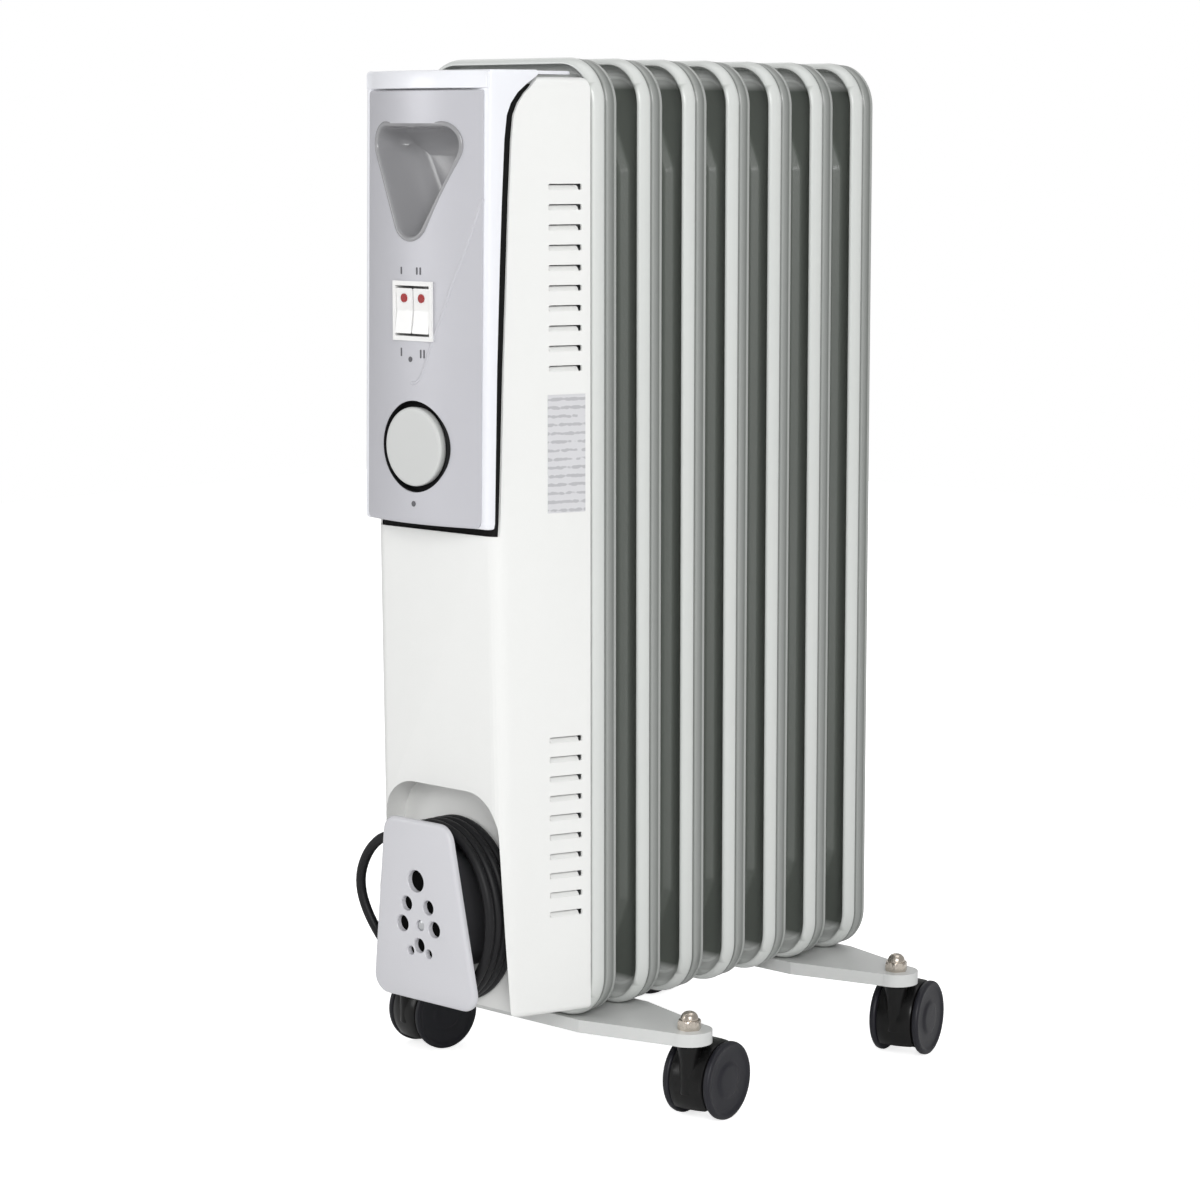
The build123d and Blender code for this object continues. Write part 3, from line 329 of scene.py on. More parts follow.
def finished_object(name, shape, crease_angle=35.0):
    """Makes an object from a shape drawn in millimetres, with edges sharper than the angle kept crisp."""
    bmesh.ops.recalc_face_normals(shape, faces=shape.faces)
    keep_edges_crisp(shape, crease_angle)
    bmesh.ops.scale(shape, vec=(MM, MM, MM), verts=shape.verts)
    data = bpy.data.meshes.new(name)
    shape.to_mesh(data)
    shape.free()
    piece = bpy.data.objects.new(name, data)
    bpy.context.scene.collection.objects.link(piece)
    return piece


# ---- Strain relief, gland and plug ----
# The relief is a tapered rubber sleeve with ribs, moulded on the lead. The plug is a moulded
# two-pin one with a ribbed boot and two round nickelled pins.
GLAND_FACE = (1.0, -168.9, 173.0)
RELIEF_LENGTH = 20.0
RIB_PITCH = 3.2
relief_profile = [(0.0, CORD_D / 2 + 0.8)]
for rib in range(6):
    start = 0.6 + rib * RIB_PITCH
    outer = CORD_D / 2 + 0.85 - rib * 0.07
    relief_profile += [(start, outer), (start + 1.9, outer), (start + 2.1, outer - 0.45),
                       (start + 2.9, outer - 0.45)]
relief_profile += [(RELIEF_LENGTH - 0.2, CORD_D / 2 + 0.3), (RELIEF_LENGTH, CORD_D / 2 + 0.05)]
shape = bmesh.new()
rings_to_mesh(shape, turned_rings(relief_profile, GLAND_FACE, (-1, 0, 0)))
strain_sleeve = finished_object("strain_sleeve", shape)
finish_piece(strain_sleeve, cord_rubber, "radiator", "strain_relief")

PLUG_START = (-94.0, -88.0, 75.7)
plug_profile = [(0.0, 3.2), (0.4, 3.9)]
for rib in range(5):
    start = 1.2 + rib * 3.2
    outer = 4.1 + rib * 0.42
    plug_profile += [(start, outer), (start + 1.8, outer), (start + 2.1, outer - 0.7),
                     (start + 2.9, outer - 0.7)]
plug_profile += [
    (17.6, 6.0), (18.6, 9.4), (20.4, 11.6), (23.0, 12.4), (30.0, 12.4), (34.0, 12.8), (37.0, 14.6),
    (38.6, 16.8), (39.6, 17.4), (48.6, 17.4), (49.7, 16.9), (50.0, 16.0)]
shape = bmesh.new()
rings_to_mesh(shape, turned_rings(plug_profile, PLUG_START, (0, 1, 0), steps=48))
plug_moulding = finished_object("plug_moulding", shape)
finish_piece(plug_moulding, cord_rubber, "radiator", "plug_body")

pin_nickel = grained_material("pin_nickel", "pin_brass", (0.72, 0.68, 0.58), (0.60, 0.56, 0.46), 0.22,
                              metallic=1.0, mottle=0.3, grain_scale=1500.0, grain_height=0.02)


def dress_solid(node, material):
    """Gives a solid whose shape is right its material."""
    nodes[node].data.materials.clear()
    nodes[node].data.materials.append(material)


dress_solid("plug_pins", pin_nickel)
dress_solid("cord_gland", cord_rubber)

# ---- Fins ----
# Each fin is two pressed steel sheets, seam welded back to back and powder coated. The sheets part at
# the oil chamber in the middle and at the rolled rim.
FIN_COUNT = 7
FIN_PITCH = 40.0
FIN_1_Y = -88.0
FIN_HALF = 73.0
FIN_LOW = 58.0
FIN_HIGH = 638.0
FIN_CORNER_R = 28.0
HEADER_Z = (110.0, 586.0)
CHAMBER_CORNERS = [(33.0, 72.0), (55.0, 124.0), (55.0, 572.0), (33.0, 624.0)]
ARC_STEPS = 8


def arc_points(before, corner, after, radius, steps):
    """Points of the arc that rounds one corner of an outline."""
    here = Vector(corner)
    to_before = (Vector(before) - here).normalized()
    to_after = (Vector(after) - here).normalized()
    half = math.acos(max(-1.0, min(1.0, to_before.dot(to_after)))) / 2
    reach = radius / math.tan(half)
    centre = here + (to_before + to_after).normalized() * (radius / math.sin(half))
    start = here + to_before * reach - centre
    end = here + to_after * reach - centre
    sweep = start.angle_signed(end)
    points = []
    for i in range(steps + 1):
        turn = -sweep * i / steps
        x = start.x * math.cos(turn) - start.y * math.sin(turn)
        z = start.x * math.sin(turn) + start.y * math.cos(turn)
        points.append((centre.x + x, centre.y + z))
    return points


def rounded_outline(corners, radii, inset=0.0, steps=ARC_STEPS):
    """An outline, drawn anticlockwise, moved inwards by inset, with its corners rounded."""
    count = len(corners)
    if not hasattr(radii, "__len__"):
        radii = [radii] * count
    moved = []
    for i in range(count):
        before = Vector(corners[i - 1])
        here = Vector(corners[i])
        after = Vector(corners[(i + 1) % count])
        run_in = (here - before).normalized()
        run_out = (after - here).normalized()
        normal_in = Vector((-run_in.y, run_in.x))
        normal_out = Vector((-run_out.y, run_out.x))
        bisector = (normal_in + normal_out).normalized()
        moved.append(here + bisector * (inset / max(0.2, bisector.dot(normal_in))))
    outline = []
    for i in range(count):
        radius = max(0.15, radii[i] - inset)
        outline += arc_points(moved[i - 1], moved[i], moved[(i + 1) % count], radius, steps)
    return outline


RIM_CORNERS = [(FIN_HALF, FIN_LOW), (FIN_HALF, FIN_HIGH), (-FIN_HALF, FIN_HIGH), (-FIN_HALF, FIN_LOW)]
chamber_outline_corners = CHAMBER_CORNERS + [(-x, z) for x, z in reversed(CHAMBER_CORNERS)]
# Inset from the edge of the fin and distance from the weld seam, from the seam's groove out over the
# rim, round its lip and back down to the flat web. The front sheet's rim is folded wider than the rear's.
FRONT_RIM = [
    (2.4, 0.0), (2.0, 0.6), (0.9, 1.0), (0.3, 1.6), (0.0, 2.4), (0.1, 4.2), (0.5, 6.4), (1.2, 8.2),
    (2.0, 9.4), (2.9, 9.95), (3.7, 9.8), (4.0, 9.1), (3.8, 8.0), (3.2, 6.2), (2.9, 4.0), (3.2, 2.4),
    (4.1, 1.3), (5.6, 0.85), (8.0, 0.75)]
REAR_RIM = [
    (2.4, 0.0), (2.0, 0.6), (1.1, 1.0), (0.6, 1.6), (0.5, 2.4), (0.7, 4.2), (1.1, 6.2), (1.5, 7.8),
    (1.1, 8.4), (0.9, 9.1), (1.2, 9.7), (1.9, 9.95), (2.7, 9.7), (3.0, 8.8), (2.8, 7.2), (2.6, 5.0),
    (2.9, 2.6), (4.1, 1.3), (5.6, 0.85), (8.0, 0.75)]
SEAM_BEAD = [(10.5, 0.8), (11.0, 1.15), (11.8, 1.2), (12.4, 0.8)]
CHAMBER_PROFILE = [(-1.2, 0.75), (-0.2, 0.9), (0.8, 1.5), (3.6, 4.3), (4.8, 5.1), (6.4, 5.5)]


def rim_ring(inset, y):
    outline = rounded_outline(RIM_CORNERS, FIN_CORNER_R, inset, steps=2 * ARC_STEPS + 1)
    return [(x, y, z) for x, z in outline]


def chamber_ring(inset, y):
    outline = rounded_outline(chamber_outline_corners, 12.0, inset)
    return [(x, y, z) for x, z in outline]


def fin_half(shape, seam_y, side, rim_profile):
    """One sheet of a fin, on the side of the seam that side gives."""
    rings = [rim_ring(inset, seam_y + side * y) for inset, y in rim_profile + SEAM_BEAD]
    rings += [chamber_ring(inset, seam_y + side * y) for inset, y in CHAMBER_PROFILE]
    rings_to_mesh(shape, rings, close_start=False)


def painted_shade_group():
    """Painted shade masks for a fin: how far a point lies inside its rim, for the painted shade between the
    fins, and how far behind its seam it lies, for the painted shade on the rim's rear half.
    """
    tree = bpy.data.node_groups.new("fin_painted_shade", "ShaderNodeTree")
    group_socket(tree, "Half Width", "INPUT", "NodeSocketFloat", 0.073)
    group_socket(tree, "Half Height", "INPUT", "NodeSocketFloat", 0.279)
    group_socket(tree, "Middle Height", "INPUT", "NodeSocketFloat", 0.348)
    group_socket(tree, "Start", "INPUT", "NodeSocketFloat", 0.0035)
    group_socket(tree, "End", "INPUT", "NodeSocketFloat", 0.0075)
    group_socket(tree, "Mask", "OUTPUT", "NodeSocketFloat")
    group_socket(tree, "Rim Shade", "OUTPUT", "NodeSocketFloat")
    inside = tree.nodes
    wire = tree.links.new
    given = inside.new("NodeGroupInput")
    result = inside.new("NodeGroupOutput")
    place = inside.new("ShaderNodeTexCoord")
    apart = inside.new("ShaderNodeSeparateXYZ")
    wire(place.outputs["Object"], apart.inputs["Vector"])
    across = inside.new("ShaderNodeMath")
    across.operation = "ABSOLUTE"
    wire(apart.outputs["X"], across.inputs[0])
    side_inset = inside.new("ShaderNodeMath")
    side_inset.operation = "SUBTRACT"
    wire(given.outputs["Half Width"], side_inset.inputs[0])
    wire(across.outputs["Value"], side_inset.inputs[1])
    above_middle = inside.new("ShaderNodeMath")
    above_middle.operation = "SUBTRACT"
    wire(apart.outputs["Z"], above_middle.inputs[0])
    wire(given.outputs["Middle Height"], above_middle.inputs[1])
    up_or_down = inside.new("ShaderNodeMath")
    up_or_down.operation = "ABSOLUTE"
    wire(above_middle.outputs["Value"], up_or_down.inputs[0])
    end_inset = inside.new("ShaderNodeMath")
    end_inset.operation = "SUBTRACT"
    wire(given.outputs["Half Height"], end_inset.inputs[0])
    wire(up_or_down.outputs["Value"], end_inset.inputs[1])
    nearest = inside.new("ShaderNodeMath")
    nearest.operation = "MINIMUM"
    wire(side_inset.outputs["Value"], nearest.inputs[0])
    wire(end_inset.outputs["Value"], nearest.inputs[1])
    mask = inside.new("ShaderNodeMapRange")
    wire(nearest.outputs["Value"], mask.inputs["Value"])
    wire(given.outputs["Start"], mask.inputs["From Min"])
    wire(given.outputs["End"], mask.inputs["From Max"])
    wire(mask.outputs["Result"], result.inputs["Mask"])
    # The second mask is painted shade on the rear half of each rim, repeated at every fin pitch and lighter
    # again at the rear lip.
    pitch = inside.new("ShaderNodeMath")
    pitch.operation = "MULTIPLY_ADD"
    pitch.inputs[1].default_value = 1.0 / (FIN_PITCH * MM)
    pitch.inputs[2].default_value = 0.5 - FIN_1_Y / FIN_PITCH
    wire(apart.outputs["Y"], pitch.inputs[0])
    within_pitch = inside.new("ShaderNodeMath")
    within_pitch.operation = "FRACT"
    wire(pitch.outputs["Value"], within_pitch.inputs[0])
    rim_shade_ramp = inside.new("ShaderNodeValToRGB")
    rim_shade_ramp.color_ramp.elements[0].position = 0.478
    rim_shade_ramp.color_ramp.elements[0].color = (0.0, 0.0, 0.0, 1.0)
    rim_shade_ramp.color_ramp.elements[1].position = 0.490
    rim_shade_ramp.color_ramp.elements[1].color = (1.0, 1.0, 1.0, 1.0)
    for position, value in ((0.512, 1.0), (0.530, 0.62), (0.60, 0.72), (0.69, 0.94), (0.705, 0.55),
                            (0.75, 0.60)):
        stop = rim_shade_ramp.color_ramp.elements.new(position)
        stop.color = (value, value, value, 1.0)
    wire(within_pitch.outputs["Value"], rim_shade_ramp.inputs["Fac"])
    wire(rim_shade_ramp.outputs["Color"], result.inputs["Rim Shade"])
    return tree


# The fin paint is darkened to a grey-green inside the rims and on the rear half of each rim: painted shade
# for the deep gaps between the fins and for the rim's rear half turned from the light. It is painted into the
# colour, so it shows from every side, on the back of the rear fin too.
fin_paint = grained_material("fin_paint", "fin_paint", (0.66, 0.68, 0.66), (0.59, 0.61, 0.59), 0.30,
                             mottle=0.15, mottle_scale=9.0, grain_scale=650.0, grain_height=0.10, coat=0.25)
paint_parts = fin_paint.node_tree.nodes
depth = paint_parts.new("ShaderNodeGroup")
depth.node_tree = painted_shade_group()
# Painted shade between the fins: the web inside each rim is darkened to grey-green.
painted_web_shade = paint_parts.new("ShaderNodeMix")
painted_web_shade.data_type = "RGBA"
painted_web_shade.inputs["B"].default_value = (0.150, 0.165, 0.148, 1.0)
# Painted shade on the rear half of each rim, lighter again at its rear lip.
painted_rim_shade = paint_parts.new("ShaderNodeMix")
painted_rim_shade.data_type = "RGBA"
painted_rim_shade.inputs["B"].default_value = (0.130, 0.140, 0.130, 1.0)
for wired in list(fin_paint.node_tree.links):
    if wired.to_socket.name == "Base Color":
        fin_paint.node_tree.links.new(wired.from_socket, painted_rim_shade.inputs["A"])
fin_paint.node_tree.links.new(depth.outputs["Rim Shade"], painted_rim_shade.inputs["Factor"])
fin_paint.node_tree.links.new(painted_rim_shade.outputs["Result"], painted_web_shade.inputs["A"])
fin_paint.node_tree.links.new(depth.outputs["Mask"], painted_web_shade.inputs["Factor"])
fin_paint.node_tree.links.new(painted_web_shade.outputs["Result"],
                              paint_parts["Principled BSDF"].inputs["Base Color"])
for index in range(FIN_COUNT):
    shape = bmesh.new()
    seam_y = FIN_1_Y + index * FIN_PITCH
    fin_half(shape, seam_y, -1, FRONT_RIM)
    fin_half(shape, seam_y, 1, REAR_RIM)
    bmesh.ops.remove_doubles(shape, verts=shape.verts, dist=0.001)
    fin = finished_object(f"pressed_fin_{index + 1}", shape, crease_angle=50.0)
    finish_piece(fin, fin_paint, "radiator", f"fin_{index + 1}")

# ---- Header sleeves ----
# Short steel pipes between one fin and the next, top and bottom, that join the oil chambers. Each is
# flared at both ends and welded all round, then painted with the fins.
CHAMBER_REACH = 5.5
ELEMENT_COLLAR = 14.0
SLEEVE_BORE_R = 19.0


def add_sleeve(shape, z, y0, y1):
    """One pipe of the header with its flares and its bore."""
    length = y1 - y0
    flare = [(0.0, 22.6), (0.5, 22.4), (1.2, 21.4), (2.4, 20.5), (4.0, 20.1)]
    profile = flare + [(length - distance, radius) for distance, radius in reversed(flare)]
    profile += [(length, SLEEVE_BORE_R), (0.0, SLEEVE_BORE_R), flare[0]]
    rings_to_mesh(shape, turned_rings(profile, (0, y0, z), (0, 1, 0), steps=48), close_start=False,
                  close_end=False)


shape = bmesh.new()
add_sleeve(shape, HEADER_Z[0], FIN_1_Y - ELEMENT_COLLAR, FIN_1_Y - CHAMBER_REACH)
for index in range(FIN_COUNT - 1):
    gap_front = FIN_1_Y + index * FIN_PITCH + CHAMBER_REACH
    for z in HEADER_Z:
        add_sleeve(shape, z, gap_front, gap_front + FIN_PITCH - 2 * CHAMBER_REACH)
bmesh.ops.remove_doubles(shape, verts=shape.verts, dist=0.001)
welded_sleeves = finished_object("welded_sleeves", shape)
sleeve_paint = grained_material("sleeve_paint", "fin_paint", (0.50, 0.53, 0.50), (0.40, 0.43, 0.40), 0.38,
                                mottle=0.3, grain_scale=500.0, grain_height=0.12)
finish_piece(welded_sleeves, sleeve_paint, "radiator", "header_sleeves")
dress_solid("filler_plug", grained_material("plug_zinc", "zinc_steel", (0.60, 0.60, 0.58),
                                            (0.46, 0.46, 0.44), 0.34, metallic=1.0, mottle=0.4,
                                            grain_scale=1100.0, grain_height=0.08))

# ---- Heating element and heat shield ----
# A copper-coated steel hairpin pair on a zinc-plated flange, sealed by a rubber ring. The shield is a
# folded galvanised channel on four welded studs.
copper_coat = grained_material("copper_coat", "copper_steel", (0.56, 0.30, 0.19), (0.38, 0.19, 0.12), 0.32,
                               metallic=1.0, mottle=0.5, mottle_scale=40.0, grain_height=0.06)
spangled_zinc = grained_material("spangled_zinc", "zinc_steel", (0.58, 0.59, 0.60), (0.42, 0.43, 0.45), 0.36,
                                 metallic=1.0, mottle=0.6, mottle_scale=60.0, grain_scale=900.0,
                                 grain_height=0.06)
seal_rubber = grained_material("seal_rubber", "gasket_rubber", (0.05, 0.05, 0.05), (0.09, 0.08, 0.08), 0.62,
                               mottle=0.4, grain_scale=600.0, grain_height=0.2)
dress_solid("element_tubes", copper_coat)
dress_solid("element_gasket", seal_rubber)
for node in ("element_flange", "heat_shield", "shield_studs"):
    dress_solid(node, spangled_zinc)

# ---- End cover ----
# One deep-drawn steel panel, 1.2 mm thick, flaring back to the width of the fins and powder coated. An
# arch for the cord is stepped out of its foot and forty louvres are lanced in its two sides.
COVER_WALL = 1.2
COVER_REAR_Y = -99.5
COVER_BOTTOM_Z = 67.0
COVER_TOP_Z = 626.0
SIDE_SLOPE = 20.0 / 60.5
TOP_ROUND = 8.0
FOOT_ROUND = 4.0
FRONT_CORNER_R = 11.0
COVER_FRONT_Y = -160.0
COVER_FRONT_HALF = 51.0
LEAN_START_Z = 360.0
LEAN_DEPTH = 6.0
RECESS_FLOOR_Y = -139.0
# Planes clear of everything on the control side, used as the far ends of cuts.
AHEAD_Y = -190.0
STEP_AHEAD_Y = -175.0
RECESS_RADII = [0.3, 0.3, 26.0, 26.0]
RECESS_CORNERS = [(-70.0, 50.0), (54.0, 50.0), (47.5, 203.0), (-46.0, 203.0)]
# Height and depth of the edge that the control unit is let into.
CUT_EDGE = [(358.5, -156.3), (366.0, -156.0), (457.0, -154.0), (555.0, -150.5), (590.0, -148.8),
            (604.0, -147.4), (611.0, -144.6), (617.0, -140.4), (622.0, -134.6), (626.0, -128.5),
            (640.0, -126.0)]
LOUVRE_COUNT = 10
LOUVRE_PITCH = 11.8
LOUVRE_MID_Y = -115.5
LOUVRE_HALF = 10.5
LOUVRE_OPEN = 3.6
LOUVRE_START_Z = (126.5, 454.5)
END_STEPS = 5


def front_at(z):
    """Depth of the cover's front: upright behind the controls, leaning back towards the foot."""
    return COVER_FRONT_Y + LEAN_DEPTH * max(0.0, LEAN_START_Z - z) / (LEAN_START_Z - COVER_BOTTOM_Z)


def side_at(y):
    """Half width of the cover at one depth."""
    return COVER_FRONT_HALF + (y - COVER_FRONT_Y) * SIDE_SLOPE


def cover_ring(z, inset, wall, beyond):
    """Plan of the cover at one height. Its rear edge stays where it is as the other edges move in."""
    near = front_at(z)
    far = COVER_REAR_Y + beyond + inset + wall
    corners = [(-side_at(near), near), (side_at(near), near), (side_at(far), far), (-side_at(far), far)]
    outline = rounded_outline(corners, [FRONT_CORNER_R, FRONT_CORNER_R, 0.2, 0.2], inset + wall, steps=6)
    return [(x, y, z) for x, y in outline]


def cover_block(name, wall, beyond):
    """The cover as a solid, moved inwards by its wall, before anything is cut from it."""
    low = COVER_BOTTOM_Z + wall
    high = COVER_TOP_Z - wall
    rings = []
    for i in range(END_STEPS + 1):
        turn = math.pi / 2 * i / END_STEPS
        height = low + FOOT_ROUND * (1 - math.cos(turn))
        rings.append(cover_ring(height, FOOT_ROUND * (1 - math.sin(turn)), wall, beyond))
    rings.append(cover_ring(LEAN_START_Z, 0.0, wall, beyond))
    for i in range(END_STEPS + 1):
        turn = math.pi / 2 * i / END_STEPS
        height = high - TOP_ROUND * (1 - math.sin(turn))
        rings.append(cover_ring(height, TOP_ROUND * (1 - math.cos(turn)), wall, beyond))
    shape = bmesh.new()
    rings_to_mesh(shape, rings)
    return finished_object(name, shape)


def prism_y(name, outline, y0, y1):
    """A solid with one outline in width and height, from one depth to another."""
    shape = bmesh.new()
    rings_to_mesh(shape, [[(x, y, z) for x, z in outline] for y in (y0, y1)])
    return finished_object(name, shape)


def prism_x(name, outline, x0, x1):
    """A solid with one outline in depth and height, from one side to the other."""
    shape = bmesh.new()
    rings_to_mesh(shape, [[(x, y, z) for y, z in outline] for x in (x0, x1)])
    return finished_object(name, shape)


def carve(piece, *tools):
    """Cuts each tool out of a piece and puts the tool away."""
    for tool in tools:
        cut = piece.modifiers.new("cut", "BOOLEAN")
        cut.operation = "DIFFERENCE"
        cut.solver = "EXACT"
        cut.object = tool
    bpy.context.view_layer.update()
    carved = bpy.data.meshes.new_from_object(piece.evaluated_get(bpy.context.evaluated_depsgraph_get()))
    piece.modifiers.clear()
    piece.data = carved
    for tool in tools:
        bpy.data.objects.remove(tool)
    shape = bmesh.new()
    shape.from_mesh(piece.data)
    keep_edges_crisp(shape, 32.0)
    shape.to_mesh(piece.data)
    shape.free()


def louvre_slots():
    """All the lanced openings, as one tool that runs through both sides."""
    shape = bmesh.new()
    for start_z in LOUVRE_START_Z:
        for index in range(LOUVRE_COUNT):
            z = start_z + index * LOUVRE_PITCH
            outline = rounded_outline([(LOUVRE_MID_Y - LOUVRE_HALF, z), (LOUVRE_MID_Y + LOUVRE_HALF, z),
                                       (LOUVRE_MID_Y + LOUVRE_HALF, z + LOUVRE_OPEN),
                                       (LOUVRE_MID_Y - LOUVRE_HALF, z + LOUVRE_OPEN)], 0.9, steps=3)
            rings_to_mesh(shape, [[(x, y, height) for y, height in outline] for x in (-90.0, 90.0)])
    return finished_object("louvre_slots", shape)


cover_panel = cover_block("cover_panel", 0.0, 0.0)
hollow = cover_block("hollow", COVER_WALL, 5.0)
carve(cover_panel, prism_y("step", rounded_outline(RECESS_CORNERS, RECESS_RADII),
                           STEP_AHEAD_Y, RECESS_FLOOR_Y))
carve(hollow, prism_y("inner_step", rounded_outline(RECESS_CORNERS, RECESS_RADII, -COVER_WALL),
                      STEP_AHEAD_Y, RECESS_FLOOR_Y + COVER_WALL))
control_opening = [(AHEAD_Y, CUT_EDGE[0][0])] + [(y, z) for z, y in CUT_EDGE] + [(AHEAD_Y, CUT_EDGE[-1][0])]
carve(cover_panel, hollow)
carve(cover_panel, prism_x("control_opening", control_opening, -90.0, 90.0), louvre_slots())

# The tongues of the louvres stay joined along their lower edge and lean inwards.
TONGUE_THICK = 0.8
TONGUE_LEAN = 2.2
TONGUE_RISE = 3.3
side_across = Vector((1.0, -SIDE_SLOPE, 0.0)).normalized()
side_along = Vector((SIDE_SLOPE, 1.0, 0.0)).normalized()
shape = bmesh.new()
for start_z in LOUVRE_START_Z:
    for index in range(LOUVRE_COUNT):
        z = start_z + index * LOUVRE_PITCH
        foot = Vector((side_at(LOUVRE_MID_Y), LOUVRE_MID_Y, z - 0.4)) - side_across * 0.3
        section = [(0.0, 0.0), (0.0, 0.5), (-TONGUE_LEAN, TONGUE_RISE),
                   (-TONGUE_LEAN - TONGUE_THICK, TONGUE_RISE), (-TONGUE_THICK, 0.0)]
        rings = []
        for along, shrink in ((-LOUVRE_HALF + 0.2, 0.75), (-LOUVRE_HALF + 1.2, 1.0), (LOUVRE_HALF - 2.4, 1.0),
                              (LOUVRE_HALF - 1.6, 0.75)):
            rings.append([foot + side_along * along + side_across * (depth * shrink)
                          + Vector((0, 0, rise * shrink)) for depth, rise in section])
        rings_to_mesh(shape, rings)
        rings_to_mesh(shape, [[Vector((-point.x, point.y, point.z)) for point in ring] for ring in rings])
louvre_tongues = finished_object("louvre_tongues", shape)

cover_paint = grained_material("cover_paint", "cover_paint", (0.83, 0.835, 0.82), (0.78, 0.785, 0.77), 0.34,
                               mottle=0.12, mottle_scale=7.0, grain_scale=700.0, grain_height=0.10, coat=0.2)
finish_piece(cover_panel, cover_paint, "radiator", "end_cover")
finish_piece(louvre_tongues, cover_paint, "radiator")
dress_solid("cover_screws", spangled_zinc)

# The rating label is a printed film with a frame and plain bars, and no lettering.


def label_material():
    """Silver-white film with rows of pale grey bars, laid out from the middle of the label."""
    material, parts, links = new_material("label_film", "label_film")
    shader = set_shader(material, (0.78, 0.78, 0.79), 0.30, coat=0.4)
    place = parts.new("ShaderNodeTexCoord")
    apart = parts.new("ShaderNodeSeparateXYZ")
    links.new(place.outputs["Object"], apart.inputs["Vector"])
    rows = parts.new("ShaderNodeTexWave")
    rows.wave_type = "BANDS"
    rows.bands_direction = "Z"
    rows.inputs["Scale"].default_value = 62.0
    rows.inputs["Distortion"].default_value = 0.0
    links.new(place.outputs["Object"], rows.inputs["Vector"])
    words = parts.new("ShaderNodeTexNoise")
    words.inputs["Scale"].default_value = 230.0
    words.inputs["Detail"].default_value = 1.0
    links.new(place.outputs["Object"], words.inputs["Vector"])
    both = parts.new("ShaderNodeMath")
    both.operation = "MULTIPLY"
    links.new(rows.outputs["Fac"], both.inputs[0])
    links.new(words.outputs["Fac"], both.inputs[1])
    inked = parts.new("ShaderNodeMapRange")
    inked.inputs["From Min"].default_value = 0.34
    inked.inputs["From Max"].default_value = 0.42
    inked.inputs["To Max"].default_value = 0.5
    links.new(both.outputs["Value"], inked.inputs["Value"])
    ink = parts.new("ShaderNodeMix")
    ink.data_type = "RGBA"
    ink.inputs["A"].default_value = (0.66, 0.66, 0.68, 1.0)
    ink.inputs["B"].default_value = (0.30, 0.30, 0.32, 1.0)
    links.new(inked.outputs["Result"], ink.inputs["Factor"])
    links.new(ink.outputs["Result"], shader.inputs["Base Color"])
    return material


dress_solid("rating_label", label_material())

# ---- Control housing ----
# A white moulded frame let into the cover. It wraps the fascia with a narrow bezel and ends in a cap
# that lies over the top of the cover.
HOUSING_WALL = 2.2
HOUSING_HALF = 52.0
FASCIA_HALF = 48.0
FASCIA_LOW = 364.0
FASCIA_HIGH = 618.4
# Height and rear edge of the housing's sides.
SIDE_EDGE = [(363.5, -162.8), (367.0, -162.6), (457.0, -160.5), (520.0, -158.3), (555.0, -156.8),
             (590.0, -155.0), (604.0, -153.4), (611.0, -150.8), (617.0, -146.6), (622.0, -141.0),
             (626.0, -135.4), (627.5, -134.0)]


def fascia_edge(z):
    """Depth of the fascia's two long edges."""
    return -169.0 + 4.0 * min(1.0, max(0.0, (z - FASCIA_LOW) / (FASCIA_HIGH - FASCIA_LOW)))


def fascia_front(x, z):
    """Depth of the crowned face of the fascia."""
    edge = fascia_edge(z)
    return edge - (176.6 + edge) * (1.0 - min(1.0, abs(x) / FASCIA_HALF) ** 2)


def housing_ring(z, rear_y, inset=0.0, beyond=0.0):
    """Plan of the housing at one height, from its bezel back to the edge of its sides."""
    near = fascia_edge(z) + 0.9
    far = rear_y + beyond + inset
    half_far = HOUSING_HALF + (far - near) * SIDE_SLOPE
    corners = [(-HOUSING_HALF, near), (HOUSING_HALF, near), (half_far, far), (-half_far, far)]
    return [(x, y, z) for x, y in rounded_outline(corners, [3.0, 3.0, 0.2, 0.2], inset, steps=5)]


rings = [housing_ring(363.5, SIDE_EDGE[0][1], 1.6), housing_ring(364.2, SIDE_EDGE[0][1], 0.5)]
rings += [housing_ring(z, y) for z, y in SIDE_EDGE[1:]]
rings += [housing_ring(629.2, -134.0, 0.4), housing_ring(630.0, -134.0, 1.3)]
shape = bmesh.new()
rings_to_mesh(shape, rings)
housing_frame = finished_object("housing_frame", shape)
rings = [housing_ring(z, y, HOUSING_WALL, 12.0) for z, y in SIDE_EDGE[1:-1]]
shape = bmesh.new()
rings_to_mesh(shape, rings)
housing_core = finished_object("housing_core", shape)
window = rounded_outline([(-42.0, 370.0), (42.0, 370.0), (42.0, 612.0), (-42.0, 612.0)], 4.0)
carve(housing_frame, housing_core)
carve(housing_frame, prism_y("window", window, AHEAD_Y, -157.0))

shape = bmesh.new()
CAP_FRONT_Y = -135.0
CAP_HALF = 55.7
CAP_REAR_HALF = 58.0
cap_corners = [(-CAP_HALF, CAP_FRONT_Y), (CAP_HALF, CAP_FRONT_Y),
               (CAP_REAR_HALF, COVER_REAR_Y), (-CAP_REAR_HALF, COVER_REAR_Y)]
rings = []
for z, inset in ((627.6, 0.3), (628.0, 0.0), (629.0, 0.0), (629.5, 0.4), (629.7, 0.9)):
    rings.append([(x, y, z) for x, y in rounded_outline(cap_corners, [0.2, 0.2, 6.0, 6.0], inset, steps=5)])
rings_to_mesh(shape, rings)
